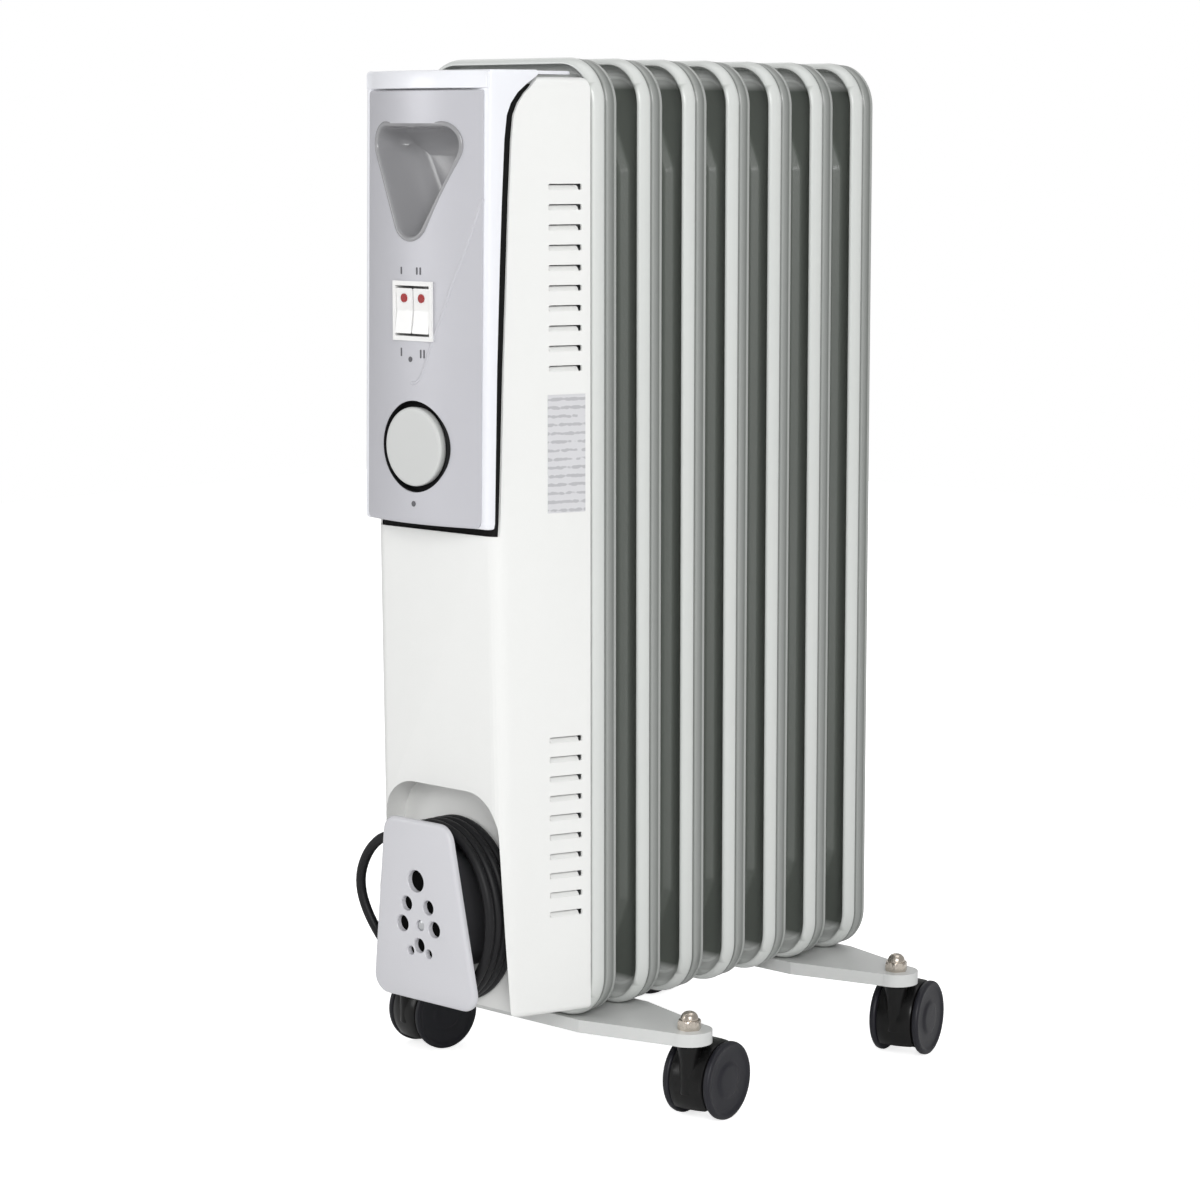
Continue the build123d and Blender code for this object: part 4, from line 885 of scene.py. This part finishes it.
# The rail above the fascia carries its crown on up to the cap.
RAIL_STEPS = 24
rings = []
for z, back in ((619.4, 0.9), (619.8, 0.35), (627.6, 0.35), (629.3, 1.2), (629.9, 2.6)):
    ring = []
    for i in range(RAIL_STEPS + 1):
        x = (2.0 * i / RAIL_STEPS - 1.0) * (HOUSING_HALF - 1.0)
        ring.append((x, min(fascia_front(x, 618.0), -164.8) + back, z))
    ring += [(HOUSING_HALF - 1.0, -161.0, z), (1.0 - HOUSING_HALF, -161.0, z)]
    rings.append(ring)
rings_to_mesh(shape, rings)
housing_cap = finished_object("housing_cap", shape)
# A near-black strip fills the gap between the housing and the edge of the cover: painted shadow put in the
# gap, not a seal the heater has.
SHADOW_STRIP_THICK = 3.0
SHADOW_STRIP_INSET = 2.6


def shadow_strip_ring(z, front_y, rear_y, inset):
    """Plan of the painted-shadow strip at one height, inset from the sides of the cover."""
    near_half = side_at(front_y) - inset
    far_half = side_at(rear_y) - inset
    corners = [(-near_half, front_y), (near_half, front_y), (far_half, rear_y), (-far_half, rear_y)]
    return [(x, y, z) for x, y in rounded_outline(corners, [8.5, 8.5, 0.2, 0.2], steps=5)]


shape = bmesh.new()
shadow_strip_levels = [(354.0, -161.4), (362.0, -161.4)] + SIDE_EDGE[1:-2]
rings_to_mesh(shape, [shadow_strip_ring(z, y + 2.8, y + 12.0, SHADOW_STRIP_INSET) for z, y in shadow_strip_levels])
gap_shadow_strip = finished_object("gap_shadow_strip", shape)
shape = bmesh.new()
core_levels = [(365.0, -163.4)] + SIDE_EDGE[1:-1]
rings_to_mesh(shape, [shadow_strip_ring(z, y - 5.0, y + 20.0, SHADOW_STRIP_INSET + SHADOW_STRIP_THICK) for z, y in core_levels])
carve(gap_shadow_strip, finished_object("shadow_strip_core", shape))
# The strip's near-black colour is painted shadow for the gap round the control unit.
shadow_strip_black = grained_material("shadow_strip_black", "gasket_rubber", (0.012, 0.012, 0.012), (0.02, 0.02, 0.02), 0.9,
                             mottle=0.4, grain_scale=500.0, grain_height=0.3, specular=0.1)
finish_piece(gap_shadow_strip, shadow_strip_black, "radiator")

housing_plastic = grained_material("housing_plastic", "housing_plastic", (0.84, 0.85, 0.89),
                                   (0.80, 0.81, 0.86), 0.30, mottle=0.1, grain_scale=1400.0,
                                   grain_height=0.05, coat=0.2)
finish_piece(housing_frame, housing_plastic, "radiator", "control_housing")
finish_piece(housing_cap, housing_plastic, "radiator")

# ---- Fascia ----
# A crowned silver-grey moulding pressed into the housing, with openings for the hand grip and the
# switch, a round well for the knob and a raised line that sweeps across it.
FASCIA_WALL = 2.0
FASCIA_CORNER = 4.0
BEHIND_Y = -150.0
GRIP_CORNERS = [(-46.5, 600.5), (-3.0, 514.0), (47.0, 600.5)]
GRIP_RADII = [13.0, 15.0, 14.0]
KNOB_CENTRE_Z = 410.0
KNOB_WELL_R = 26.8
KNOB_WELL_FLOOR_Y = -170.6
FACE_STEPS = 28


def fascia_ring(z, inset, back):
    """The crowned strip of the fascia at one height, front from left to right and then the back."""
    reach = FASCIA_HALF - inset
    front = []
    rear = []
    for i in range(FACE_STEPS + 1):
        x = (2.0 * i / FACE_STEPS - 1.0) * reach
        face = fascia_front(x, z) + back
        front.append((x, face, z))
        rear.append((x, max(face + 0.4, fascia_front(x, z) + FASCIA_WALL), z))
    return front + list(reversed(rear))


rings = [fascia_ring(FASCIA_LOW, FASCIA_CORNER, 0.8), fascia_ring(FASCIA_LOW + 0.6, 2.4, 0.25)]
rings += [fascia_ring(FASCIA_LOW + 1.6, 1.0, 0.0), fascia_ring(FASCIA_LOW + 3.6, 0.1, 0.0)]
rings += [fascia_ring(FASCIA_LOW + 8.0 + 10.0 * i, 0.0, 0.0) for i in range(24)]
rings += [fascia_ring(FASCIA_HIGH - 3.0, 0.0, 0.0), fascia_ring(FASCIA_HIGH - 0.6, 0.2, 0.2)]
rings += [fascia_ring(FASCIA_HIGH, 0.6, 0.8)]
shape = bmesh.new()
rings_to_mesh(shape, rings)
fascia_face = finished_object("fascia_face", shape)
well_bore = bmesh.new()
rings_to_mesh(well_bore, turned_rings([(0.0, 28.0), (21.4, 28.0), (23.0, 27.2), (40.0, 27.2)],
                                      (0, -199.4, KNOB_CENTRE_Z), (0, 1, 0), steps=64))
switch_hole = rounded_outline([(-15.6, 473.4), (15.6, 473.4), (15.6, 506.6), (-15.6, 506.6)], 0.8, steps=3)
carve(fascia_face, prism_y("grip_hole", rounded_outline(GRIP_CORNERS, GRIP_RADII, 1.2), AHEAD_Y, BEHIND_Y),
      finished_object("well_bore", well_bore), prism_y("switch_hole", switch_hole, AHEAD_Y, BEHIND_Y))

# The knob's well is a cup behind the face, open where the shaft's bush comes through. It is coloured near
# black: painted shadow for the deep gap round the knob.
shape = bmesh.new()
well_profile = [(1.6, 27.1), (1.0, 27.1), (1.0, KNOB_WELL_R), (6.1, KNOB_WELL_R), (6.1, 5.0), (8.0, 5.0),
                (8.0, 28.4), (3.2, 28.4), (1.6, 27.1)]
rings_to_mesh(shape, turned_rings([(distance - 6.1, radius) for distance, radius in well_profile],
                                  (0, KNOB_WELL_FLOOR_Y, KNOB_CENTRE_Z), (0, 1, 0), steps=64),
              close_start=False, close_end=False)
bmesh.ops.remove_doubles(shape, verts=shape.verts, dist=0.001)
knob_well = finished_object("knob_well", shape)

RIDGE_POINTS = [(47.3, 556.0), (39.0, 529.0), (27.5, 503.0), (21.5, 486.0), (15.0, 473.0), (8.5, 456.0),
                (3.0, 447.0), (-2.0, 447.5)]
ridge_curve = bpy.data.curves.new("sweeping_ridge", "CURVE")
ridge_curve.dimensions = "3D"
ridge_curve.bevel_depth = 1.3 * MM
ridge_curve.bevel_resolution = 4
ridge_curve.resolution_u = 8
ridge_curve.use_fill_caps = True
ridge_run = ridge_curve.splines.new("NURBS")
ridge_run.points.add(len(RIDGE_POINTS) - 1)
for point, (x, z) in zip(ridge_run.points, RIDGE_POINTS):
    point.co = (x * MM, (fascia_front(x, z) + 0.75) * MM, z * MM, 1.0)
ridge_run.order_u = 3
ridge_run.use_endpoint_u = True
sweeping_ridge = bpy.data.objects.new("sweeping_ridge", ridge_curve)
bpy.context.scene.collection.objects.link(sweeping_ridge)

fascia_plastic = grained_material("fascia_plastic", "fascia_plastic", (0.54, 0.54, 0.575),
                                  (0.48, 0.48, 0.515), 0.36, mottle=0.2, mottle_scale=14.0,
                                  grain_scale=1700.0, grain_height=0.10, metallic=0.15)
finish_piece(fascia_face, fascia_plastic, "radiator", "fascia")
# Near black for the well: painted shadow for the gap round the knob, not the fascia's own colour.
well_painted_shadow = grained_material("well_painted_shadow", "fascia_plastic", (0.010, 0.010, 0.011), (0.02, 0.02, 0.02), 0.7,
                              mottle=0.2, specular=0.15)
finish_piece(knob_well, well_painted_shadow, "radiator")
finish_piece(sweeping_ridge, fascia_plastic, "radiator")

# The printed marks are plain bars: one and two above the switch for the two powers, three below it,
# and the dot that the knob is read against.
PRINT_THICK = 0.25
MARKS = [
    (-10.0, 513.5, 1.1, 4.4), (3.6, 513.5, 1.1, 4.4), (6.4, 513.5, 1.1, 4.4), (-10.5, 465.5, 1.0, 5.0),
    (-2.4, 461.5, 3.2, 3.2), (6.3, 465.0, 1.0, 5.0), (9.0, 465.0, 1.0, 5.0), (-0.5, 376.0, 3.4, 3.4)]
shape = bmesh.new()
for x, z, width, height in MARKS:
    corners = [(x - width / 2, z - height / 2), (x + width / 2, z - height / 2),
               (x + width / 2, z + height / 2), (x - width / 2, z + height / 2)]
    outline = rounded_outline(corners, 0.49 * min(width, height), steps=4)
    rings_to_mesh(shape, [[(u, fascia_front(u, v) + depth, v) for u, v in outline]
                          for depth in (0.3, -PRINT_THICK)])
printed_marks = finished_object("printed_marks", shape)
mark_ink = grained_material("mark_ink", "fascia_plastic", (0.10, 0.10, 0.11), (0.16, 0.16, 0.17), 0.5,
                            mottle=0.3)
finish_piece(printed_marks, mark_ink, "radiator")

# ---- Hand grip ----
# A smooth dish behind the fascia with a raised lip, deep enough for the fingers of one hand.
GRIP_FLOOR_Y = -147.6
GRIP_WALL = 1.6
# Inset from the outline, rise of the lip over the fascia and share of the way down to the floor.
DISH_PROFILE = [
    (0.4, 0.6, 0.0), (0.0, -0.3, 0.0), (0.5, -0.95, 0.0), (1.4, -1.15, 0.0), (2.3, -0.8, 0.0),
    (2.9, 0.0, 0.02), (3.4, 0.0, 0.13), (4.1, 0.0, 0.28), (5.2, 0.0, 0.46), (6.8, 0.0, 0.64),
    (9.2, 0.0, 0.80), (12.2, 0.0, 0.91), (16.0, 0.0, 0.975), (20.0, 0.0, 1.0)]


def dish_ring(inset, rise, share, behind):
    """One level of the dish: the grip's outline moved in, part of the way from the face to the floor."""
    ring = []
    for x, z in rounded_outline(GRIP_CORNERS, GRIP_RADII, inset, steps=14):
        face = fascia_front(x, z) + rise
        ring.append((x, face + (GRIP_FLOOR_Y - face) * share + behind, z))
    return ring


rings = [dish_ring(inset - 1.0, 0.0, share, GRIP_WALL) for inset, rise, share in reversed(DISH_PROFILE[5:])]
rings = [[(x, min(y, GRIP_FLOOR_Y + GRIP_WALL), z) for x, y, z in ring] for ring in rings]
rings += [dish_ring(1.2, 0.9, 0.0, 0.6)]
rings += [dish_ring(inset, rise, share, 0.0) for inset, rise, share in DISH_PROFILE]
shape = bmesh.new()
rings_to_mesh(shape, rings)
grip_dish = finished_object("grip_dish", shape, crease_angle=60.0)
grip_plastic = grained_material("grip_plastic", "grip_plastic", (0.30, 0.30, 0.31), (0.26, 0.26, 0.27), 0.15,
                                mottle=0.15, grain_scale=1300.0, grain_height=0.03, coat=0.3)
finish_piece(grip_dish, grip_plastic, "radiator", "grip_cup")

# ---- Thermostat and its knob ----
# The knob is a plain moulded disc pushed on the thermostat's shaft, nearly flush in its well. The
# thermostat behind it is a phenolic block with a brass-coloured bush.
shape = bmesh.new()
knob_profile = [(0.0, 3.0), (0.0, 21.6), (0.5, 22.6), (1.2, 23.2), (4.6, 23.5), (5.4, 23.3), (5.9, 22.8),
                (6.15, 22.0), (6.2, 20.8), (6.25, 16.0), (6.35, 8.0), (6.4, 2.0)]
rings_to_mesh(shape, turned_rings(knob_profile, (0, -171.6, KNOB_CENTRE_Z), (0, -1, 0), steps=72),
              close_start=False)
bore_start = [vert for vert in shape.verts if abs(vert.co.y + 171.6) < 0.01
              and abs(math.hypot(vert.co.x, vert.co.z - KNOB_CENTRE_Z) - 3.0) < 0.01]
bore_end = [shape.verts.new((vert.co.x, -175.0, vert.co.z)) for vert in bore_start]
for i in range(len(bore_start)):
    k = (i + 1) % len(bore_start)
    shape.faces.new((bore_start[i], bore_start[k], bore_end[k], bore_end[i]))
shape.faces.new(bore_end)
turning_knob = finished_object("turning_knob", shape)
knob_plastic = grained_material("knob_plastic", "knob_plastic", (0.60, 0.61, 0.60), (0.54, 0.55, 0.54), 0.34,
                                mottle=0.12, grain_scale=1500.0, grain_height=0.06)
finish_piece(turning_knob, knob_plastic, "knob", "thermostat_knob")
phenolic = grained_material("phenolic", "phenolic", (0.055, 0.042, 0.035), (0.10, 0.075, 0.055), 0.38,
                            mottle=0.5, mottle_scale=120.0, grain_scale=1800.0, grain_height=0.08)
shaft_steel = grained_material("shaft_steel", "zinc_steel", (0.62, 0.60, 0.54), (0.50, 0.48, 0.42), 0.28,
                               metallic=1.0, mottle=0.3, grain_height=0.03)
for node in ("thermostat_body", "thermal_cutout"):
    dress_solid(node, phenolic)

# ---- Twin rocker switch ----
# A white snap-in frame with two rockers side by side, each with a small red neon lens.
switch_white = grained_material("switch_white", "switch_plastic", (0.86, 0.86, 0.85), (0.80, 0.80, 0.79),
                                0.24, mottle=0.1, grain_scale=1600.0, grain_height=0.04, coat=0.2)
for node in ("switch_frame", "rocker_left", "rocker_right"):
    dress_solid(node, switch_white)
neon_red = grained_material("neon_red", "neon_red", (0.36, 0.010, 0.012), (0.20, 0.006, 0.006), 0.14,
                            mottle=0.5, mottle_scale=400.0, grain_height=0.02, coat=0.6)
for node in ("neon_lens_left", "neon_lens_right"):
    dress_solid(node, neon_red)

# ---- Terminal block and wiring ----
# A glazed steatite block takes four silicone-covered wires from the element, switch and thermostat.
dress_solid("terminal_block", grained_material("steatite", "ceramic", (0.82, 0.79, 0.72), (0.70, 0.66, 0.58),
                                               0.30, mottle=0.4, mottle_scale=90.0, grain_height=0.08,
                                               coat=0.3))
dress_solid("wiring", grained_material("silicone_sleeve", "wire_insulation", (0.70, 0.68, 0.62),
                                       (0.55, 0.50, 0.42), 0.46, mottle=0.35, grain_scale=1400.0,
                                       grain_height=0.16))
dress_solid("thermostat_shaft", shaft_steel)

# ---- Cord wrap ----
# A waisted hub moulded with the gland's boss, and a front plate with a rounded edge and eight round
# vents, held by one screw. The plate leans back towards its foot with the cover.
PLATE_CORNERS = [(-45.5, 72.0), (45.5, 72.0), (27.5, 185.0), (-28.5, 185.0)]
PLATE_CORNER_R = 11.0
PLATE_FRONT_Y = -177.6
PLATE_TOP_Z = 184.0
PLATE_LEAN = 0.052
PLATE_THICK = 4.6
VENTS = [(-2.5, 147, 6.8), (-11.3, 132, 4.5), (7.3, 132, 4.5), (-15.7, 119, 5.0), (11.7, 119, 5.0),
         (-2.0, 107, 4.5), (-9.6, 103, 2.8), (6.0, 103, 2.8)]


def plate_front(z):
    """Depth of the plate's face, which leans back towards its foot."""
    return PLATE_FRONT_Y + PLATE_LEAN * (PLATE_TOP_Z - z)


shape = bmesh.new()
rings = []
for inset, depth in ((1.0, PLATE_THICK), (0.2, PLATE_THICK - 0.6), (0.0, 2.4), (0.3, 1.2), (1.1, 0.4),
                     (2.2, 0.0)):
    outline = rounded_outline(PLATE_CORNERS, PLATE_CORNER_R, inset, steps=10)
    rings.append([(x, plate_front(z) + depth, z) for x, z in outline])
rings_to_mesh(shape, rings)
wrap_face = finished_object("wrap_face", shape)
vent_tools = bmesh.new()
for x, z, radius in VENTS:
    vent_profile = [(0.0, radius + 0.6), (10.0, radius + 0.6), (10.8, radius), (30.0, radius)]
    rings_to_mesh(vent_tools, turned_rings(vent_profile, (x, plate_front(z) - 10.2, z), (0, 1, 0), steps=32))
rings_to_mesh(vent_tools, turned_rings([(0.0, 3.4), (11.6, 3.4), (11.6, 2.1), (30.0, 2.1)],
                                       (0, plate_front(120.0) - 10.0, 120.0), (0, 1, 0), steps=32))
carve(wrap_face, finished_object("vent_tools", vent_tools))

HUB_CORNERS = [(-20.0, 92.0), (20.0, 92.0), (20.0, 166.0), (-20.0, 166.0)]
shape = bmesh.new()
rings = []
HUB_FACE_Y = -168.2
HUB_FACE_REACH = 3.9
HUB_LEAN_TOP_Z = 173.0
HUB_LEVELS = [(-0.6, -139.0), (0.0, -141.0), (1.2, -146.0), (1.4, -154.0), (0.6, -160.0), (0.0, -163.0)]
for inset, y in HUB_LEVELS:
    rings.append([(x, y, z) for x, z in rounded_outline(HUB_CORNERS, 12.0, inset, steps=8)])
rings.append([(x, HUB_FACE_Y + max(0.0, HUB_LEAN_TOP_Z - z) * PLATE_LEAN - HUB_FACE_REACH, z)
              for x, z in rounded_outline(HUB_CORNERS, 12.0, 0.0, steps=8)])
rings_to_mesh(shape, rings)
boss = rounded_outline([(3.0, 158.0), (17.0, 158.0), (17.0, 180.0), (3.0, 180.0)], 2.0, steps=4)
rings_to_mesh(shape, [[(x, y, z) for x, z in boss] for y in (-172.4, -164.8)])
winding_hub = finished_object("winding_hub", shape)
# A near-black sheet behind the vents: painted shadow for the dark inside seen through them.
backing = bmesh.new()
backing_outline = rounded_outline(PLATE_CORNERS, PLATE_CORNER_R, 9.0, steps=6)
rings_to_mesh(backing, [[(x, plate_front(z) + depth, z) for x, z in backing_outline] for depth in (3.6, 5.2)])
vent_shadow_sheet = finished_object("vent_shadow_sheet", backing)

wrap_plastic = grained_material("wrap_plastic", "wrap_plastic", (0.62, 0.62, 0.65), (0.57, 0.57, 0.60), 0.34,
                                mottle=0.12, grain_scale=1300.0, grain_height=0.08)
# Near black for the sheet behind the vents: painted shadow.
vent_painted_shadow = grained_material("vent_painted_shadow", "wrap_plastic", (0.003, 0.003, 0.003), (0.006, 0.006, 0.006), 0.9,
                              mottle=0.2, specular=0.05)
hub_plastic = grained_material("hub_plastic", "wrap_plastic", (0.05, 0.05, 0.055), (0.035, 0.035, 0.04), 0.5,
                               mottle=0.2)
finish_piece(wrap_face, wrap_plastic, "radiator", "wrap_plate")
finish_piece(winding_hub, hub_plastic, "radiator", "wrap_hub")
finish_piece(vent_shadow_sheet, vent_painted_shadow, "radiator")

shape = bmesh.new()
rings_to_mesh(shape, turned_rings([(0.0, 1.0), (0.0, 2.2), (0.5, 3.0), (1.2, 3.1), (1.3, 1.8), (12.0, 1.7)],
                                  (0, plate_front(120.0) + 0.5, 120.0), (0, 1, 0), steps=24))
wrap_screw = finished_object("wrap_screw", shape)
finish_piece(wrap_screw, spangled_zinc, "radiator", "plate_screw")

# ---- Cross brackets and their fastenings ----
# Each bracket is a pressed and painted steel strap under the fins, held by a zinc-plated U-bolt over
# the bottom header and two wing nuts. A stem and a domed nut hold a caster at each rounded tip.
bracket_paint = grained_material("bracket_paint", "bracket_paint", (0.66, 0.67, 0.66), (0.58, 0.59, 0.58),
                                 0.36, mottle=0.2, grain_scale=650.0, grain_height=0.10, coat=0.2)
for end in ("front", "rear"):
    dress_solid(f"{end}_bracket", bracket_paint)
    dress_solid(f"{end}_u_bolt", spangled_zinc)
dress_solid("wing_nuts", spangled_zinc)
dress_solid("caster_stems", spangled_zinc)

BRACKET_Y = (-68.0, 132.0)
STEM_X = 123.0
FIN_FOOT_Z = 58.0
NUT_FLAT = 6.5


def nut_ring(height, radius, roundness):
    """A ring between a hexagon and a circle, so that the corners are chamfered into the dome."""
    ring = []
    for i in range(36):
        angle = 2 * math.pi * i / 36
        from_flat = (math.degrees(angle) % 60.0) - 30.0
        hexagon = NUT_FLAT / math.cos(math.radians(from_flat))
        reach = min(hexagon, radius) * (1 - roundness) + radius * roundness
        ring.append((reach * math.cos(angle), reach * math.sin(angle), height))
    return ring


shape = bmesh.new()
NUT_LEVELS = [(0.0, 6.9, 0.0), (0.7, 7.5, 0.0), (4.9, 7.5, 0.0), (5.9, 6.6, 0.0), (6.0, 5.5, 1.0),
              (7.6, 5.35, 1.0), (9.0, 4.7, 1.0), (10.2, 3.5, 1.0), (10.8, 2.2, 1.0), (11.0, 0.9, 1.0)]
for y in BRACKET_Y:
    for side in (-1, 1):
        rings = [[(side * STEM_X + u, y + v, FIN_FOOT_Z + height) for u, v, height in nut_ring(*level)]
                 for level in NUT_LEVELS]
        rings_to_mesh(shape, rings)
domed_nuts = finished_object("domed_nuts", shape, crease_angle=28.0)
warm_nickel = grained_material("warm_nickel", "nickel", (0.66, 0.60, 0.53), (0.46, 0.40, 0.34), 0.22,
                               metallic=1.0, mottle=0.5, mottle_scale=90.0, grain_scale=1200.0,
                               grain_height=0.04)
finish_piece(domed_nuts, warm_nickel, "radiator", "acorn_nuts")

# ---- Casters ----
# Twin-wheel swivel casters moulded in nylon: a glossy hood over the drums, and two discs on a steel
# axle, each with a dished face and a raised hub cap.
WHEEL_R = 24.0
CASTER_TRAIL = 19.0
CASTER_YAW = {"front_right": 8.0, "front_left": -8.0, "rear_right": 16.0, "rear_left": -16.0}
HOOD_SWEEP = (74.0, 222.0)
HOOD_STEPS = 26
# Distance across the caster and radius, round the section of the hood.
HOOD_SECTION = [
    (-12.1, 21.5), (-12.1, 22.8), (-11.6, 23.6), (-10.4, 24.1), (-6.0, 24.5), (0.0, 24.7), (6.0, 24.5),
    (10.4, 24.1), (11.6, 23.6), (12.1, 22.8), (12.1, 21.5), (6.2, 21.3), (0.0, 21.3), (-6.2, 21.3)]
WEB_OUTLINE = [
    (-12.0, -17.6), (-4.0, -9.0), (5.0, -6.0), (6.5, 4.0), (5.6, 20.9), (-4.0, 21.6), (-14.0, 16.6),
    (-20.0, 8.6), (-21.6, -2.0), (-18.6, -11.4)]
SOCKET_PROFILE = [
    (0.0, 4.3), (0.0, 5.6), (0.6, 6.0), (22.0, 6.2), (27.0, 7.2), (29.6, 7.6), (30.3, 7.0), (30.3, 4.3),
    (0.0, 4.3)]
WHEEL_PROFILE = [
    (15.3, 3.05), (6.5, 3.05), (6.5, 20.3), (12.2, 20.3), (12.45, 22.6), (12.9, 23.5), (13.7, 24.0),
    (15.3, 24.0), (16.2, 23.7), (16.8, 23.0), (17.0, 22.0), (16.7, 21.0), (16.1, 20.2), (15.8, 18.5),
    (15.7, 12.5), (15.9, 11.0), (16.5, 10.2), (16.9, 9.2), (17.0, 7.8), (17.0, 3.0)]
hood_nylon = grained_material("hood_nylon", "hood_plastic", (0.005, 0.005, 0.005), (0.009, 0.009, 0.009),
                              0.26, mottle=0.3, grain_scale=1100.0, grain_height=0.06, specular=0.22,
                              coat=0.05)
wheel_nylon = grained_material("wheel_nylon", "wheel_plastic", (0.014, 0.014, 0.019), (0.024, 0.024, 0.030),
                               0.40, mottle=0.3, grain_scale=1000.0, grain_height=0.08, specular=0.3)


def caster_place(corner):
    """Where a caster's wheel centre is and which way it has swung."""
    end, side = corner.split("_")
    x = STEM_X if side == "right" else -STEM_X
    y = BRACKET_Y[0] if end == "front" else BRACKET_Y[1]
    turned = Matrix.Rotation(math.radians(CASTER_YAW[corner]), 4, "Z")
    return Matrix.Translation((x, y, WHEEL_R)) @ turned @ Matrix.Translation((0, CASTER_TRAIL, 0))


for corner in CASTER_YAW:
    place = caster_place(corner)
    shape = bmesh.new()
    rings = []
    for i in range(HOOD_STEPS + 1):
        angle = math.radians(HOOD_SWEEP[0] + (HOOD_SWEEP[1] - HOOD_SWEEP[0]) * i / HOOD_STEPS)
        rings.append([(x, radius * math.cos(angle), radius * math.sin(angle)) for x, radius in HOOD_SECTION])
    rings_to_mesh(shape, rings)
    rings_to_mesh(shape, [[(x, y, z) for y, z in WEB_OUTLINE] for x in (-5.6, 5.6)])
    rings_to_mesh(shape, turned_rings(SOCKET_PROFILE, (0, -CASTER_TRAIL, -6.0), (0, 0, 1), steps=32),
                  close_start=False, close_end=False)
    rings_to_mesh(shape, turned_rings([(-15.0, 2.3), (-14.6, 2.9), (14.6, 2.9), (15.0, 2.3)], (0, 0, 0),
                                      (1, 0, 0)))
    bmesh.ops.remove_doubles(shape, verts=shape.verts, dist=0.001)
    bmesh.ops.transform(shape, matrix=place, verts=shape.verts)
    hood = finished_object(f"moulded_hood_{corner}", shape)
    finish_piece(hood, hood_nylon, f"caster_{corner}", f"caster_hood_{corner}")
    for letter, side in (("a", 1), ("b", -1)):
        shape = bmesh.new()
        rings_to_mesh(shape, turned_rings(WHEEL_PROFILE, (0, 0, 0), (side, 0, 0), steps=64))
        bmesh.ops.transform(shape, matrix=place, verts=shape.verts)
        disc = finished_object(f"disc_wheel_{corner}_{letter}", shape, crease_angle=40.0)
        finish_piece(disc, wheel_nylon, f"wheel_{corner}_{letter}", f"wheel_{corner}_{letter}")
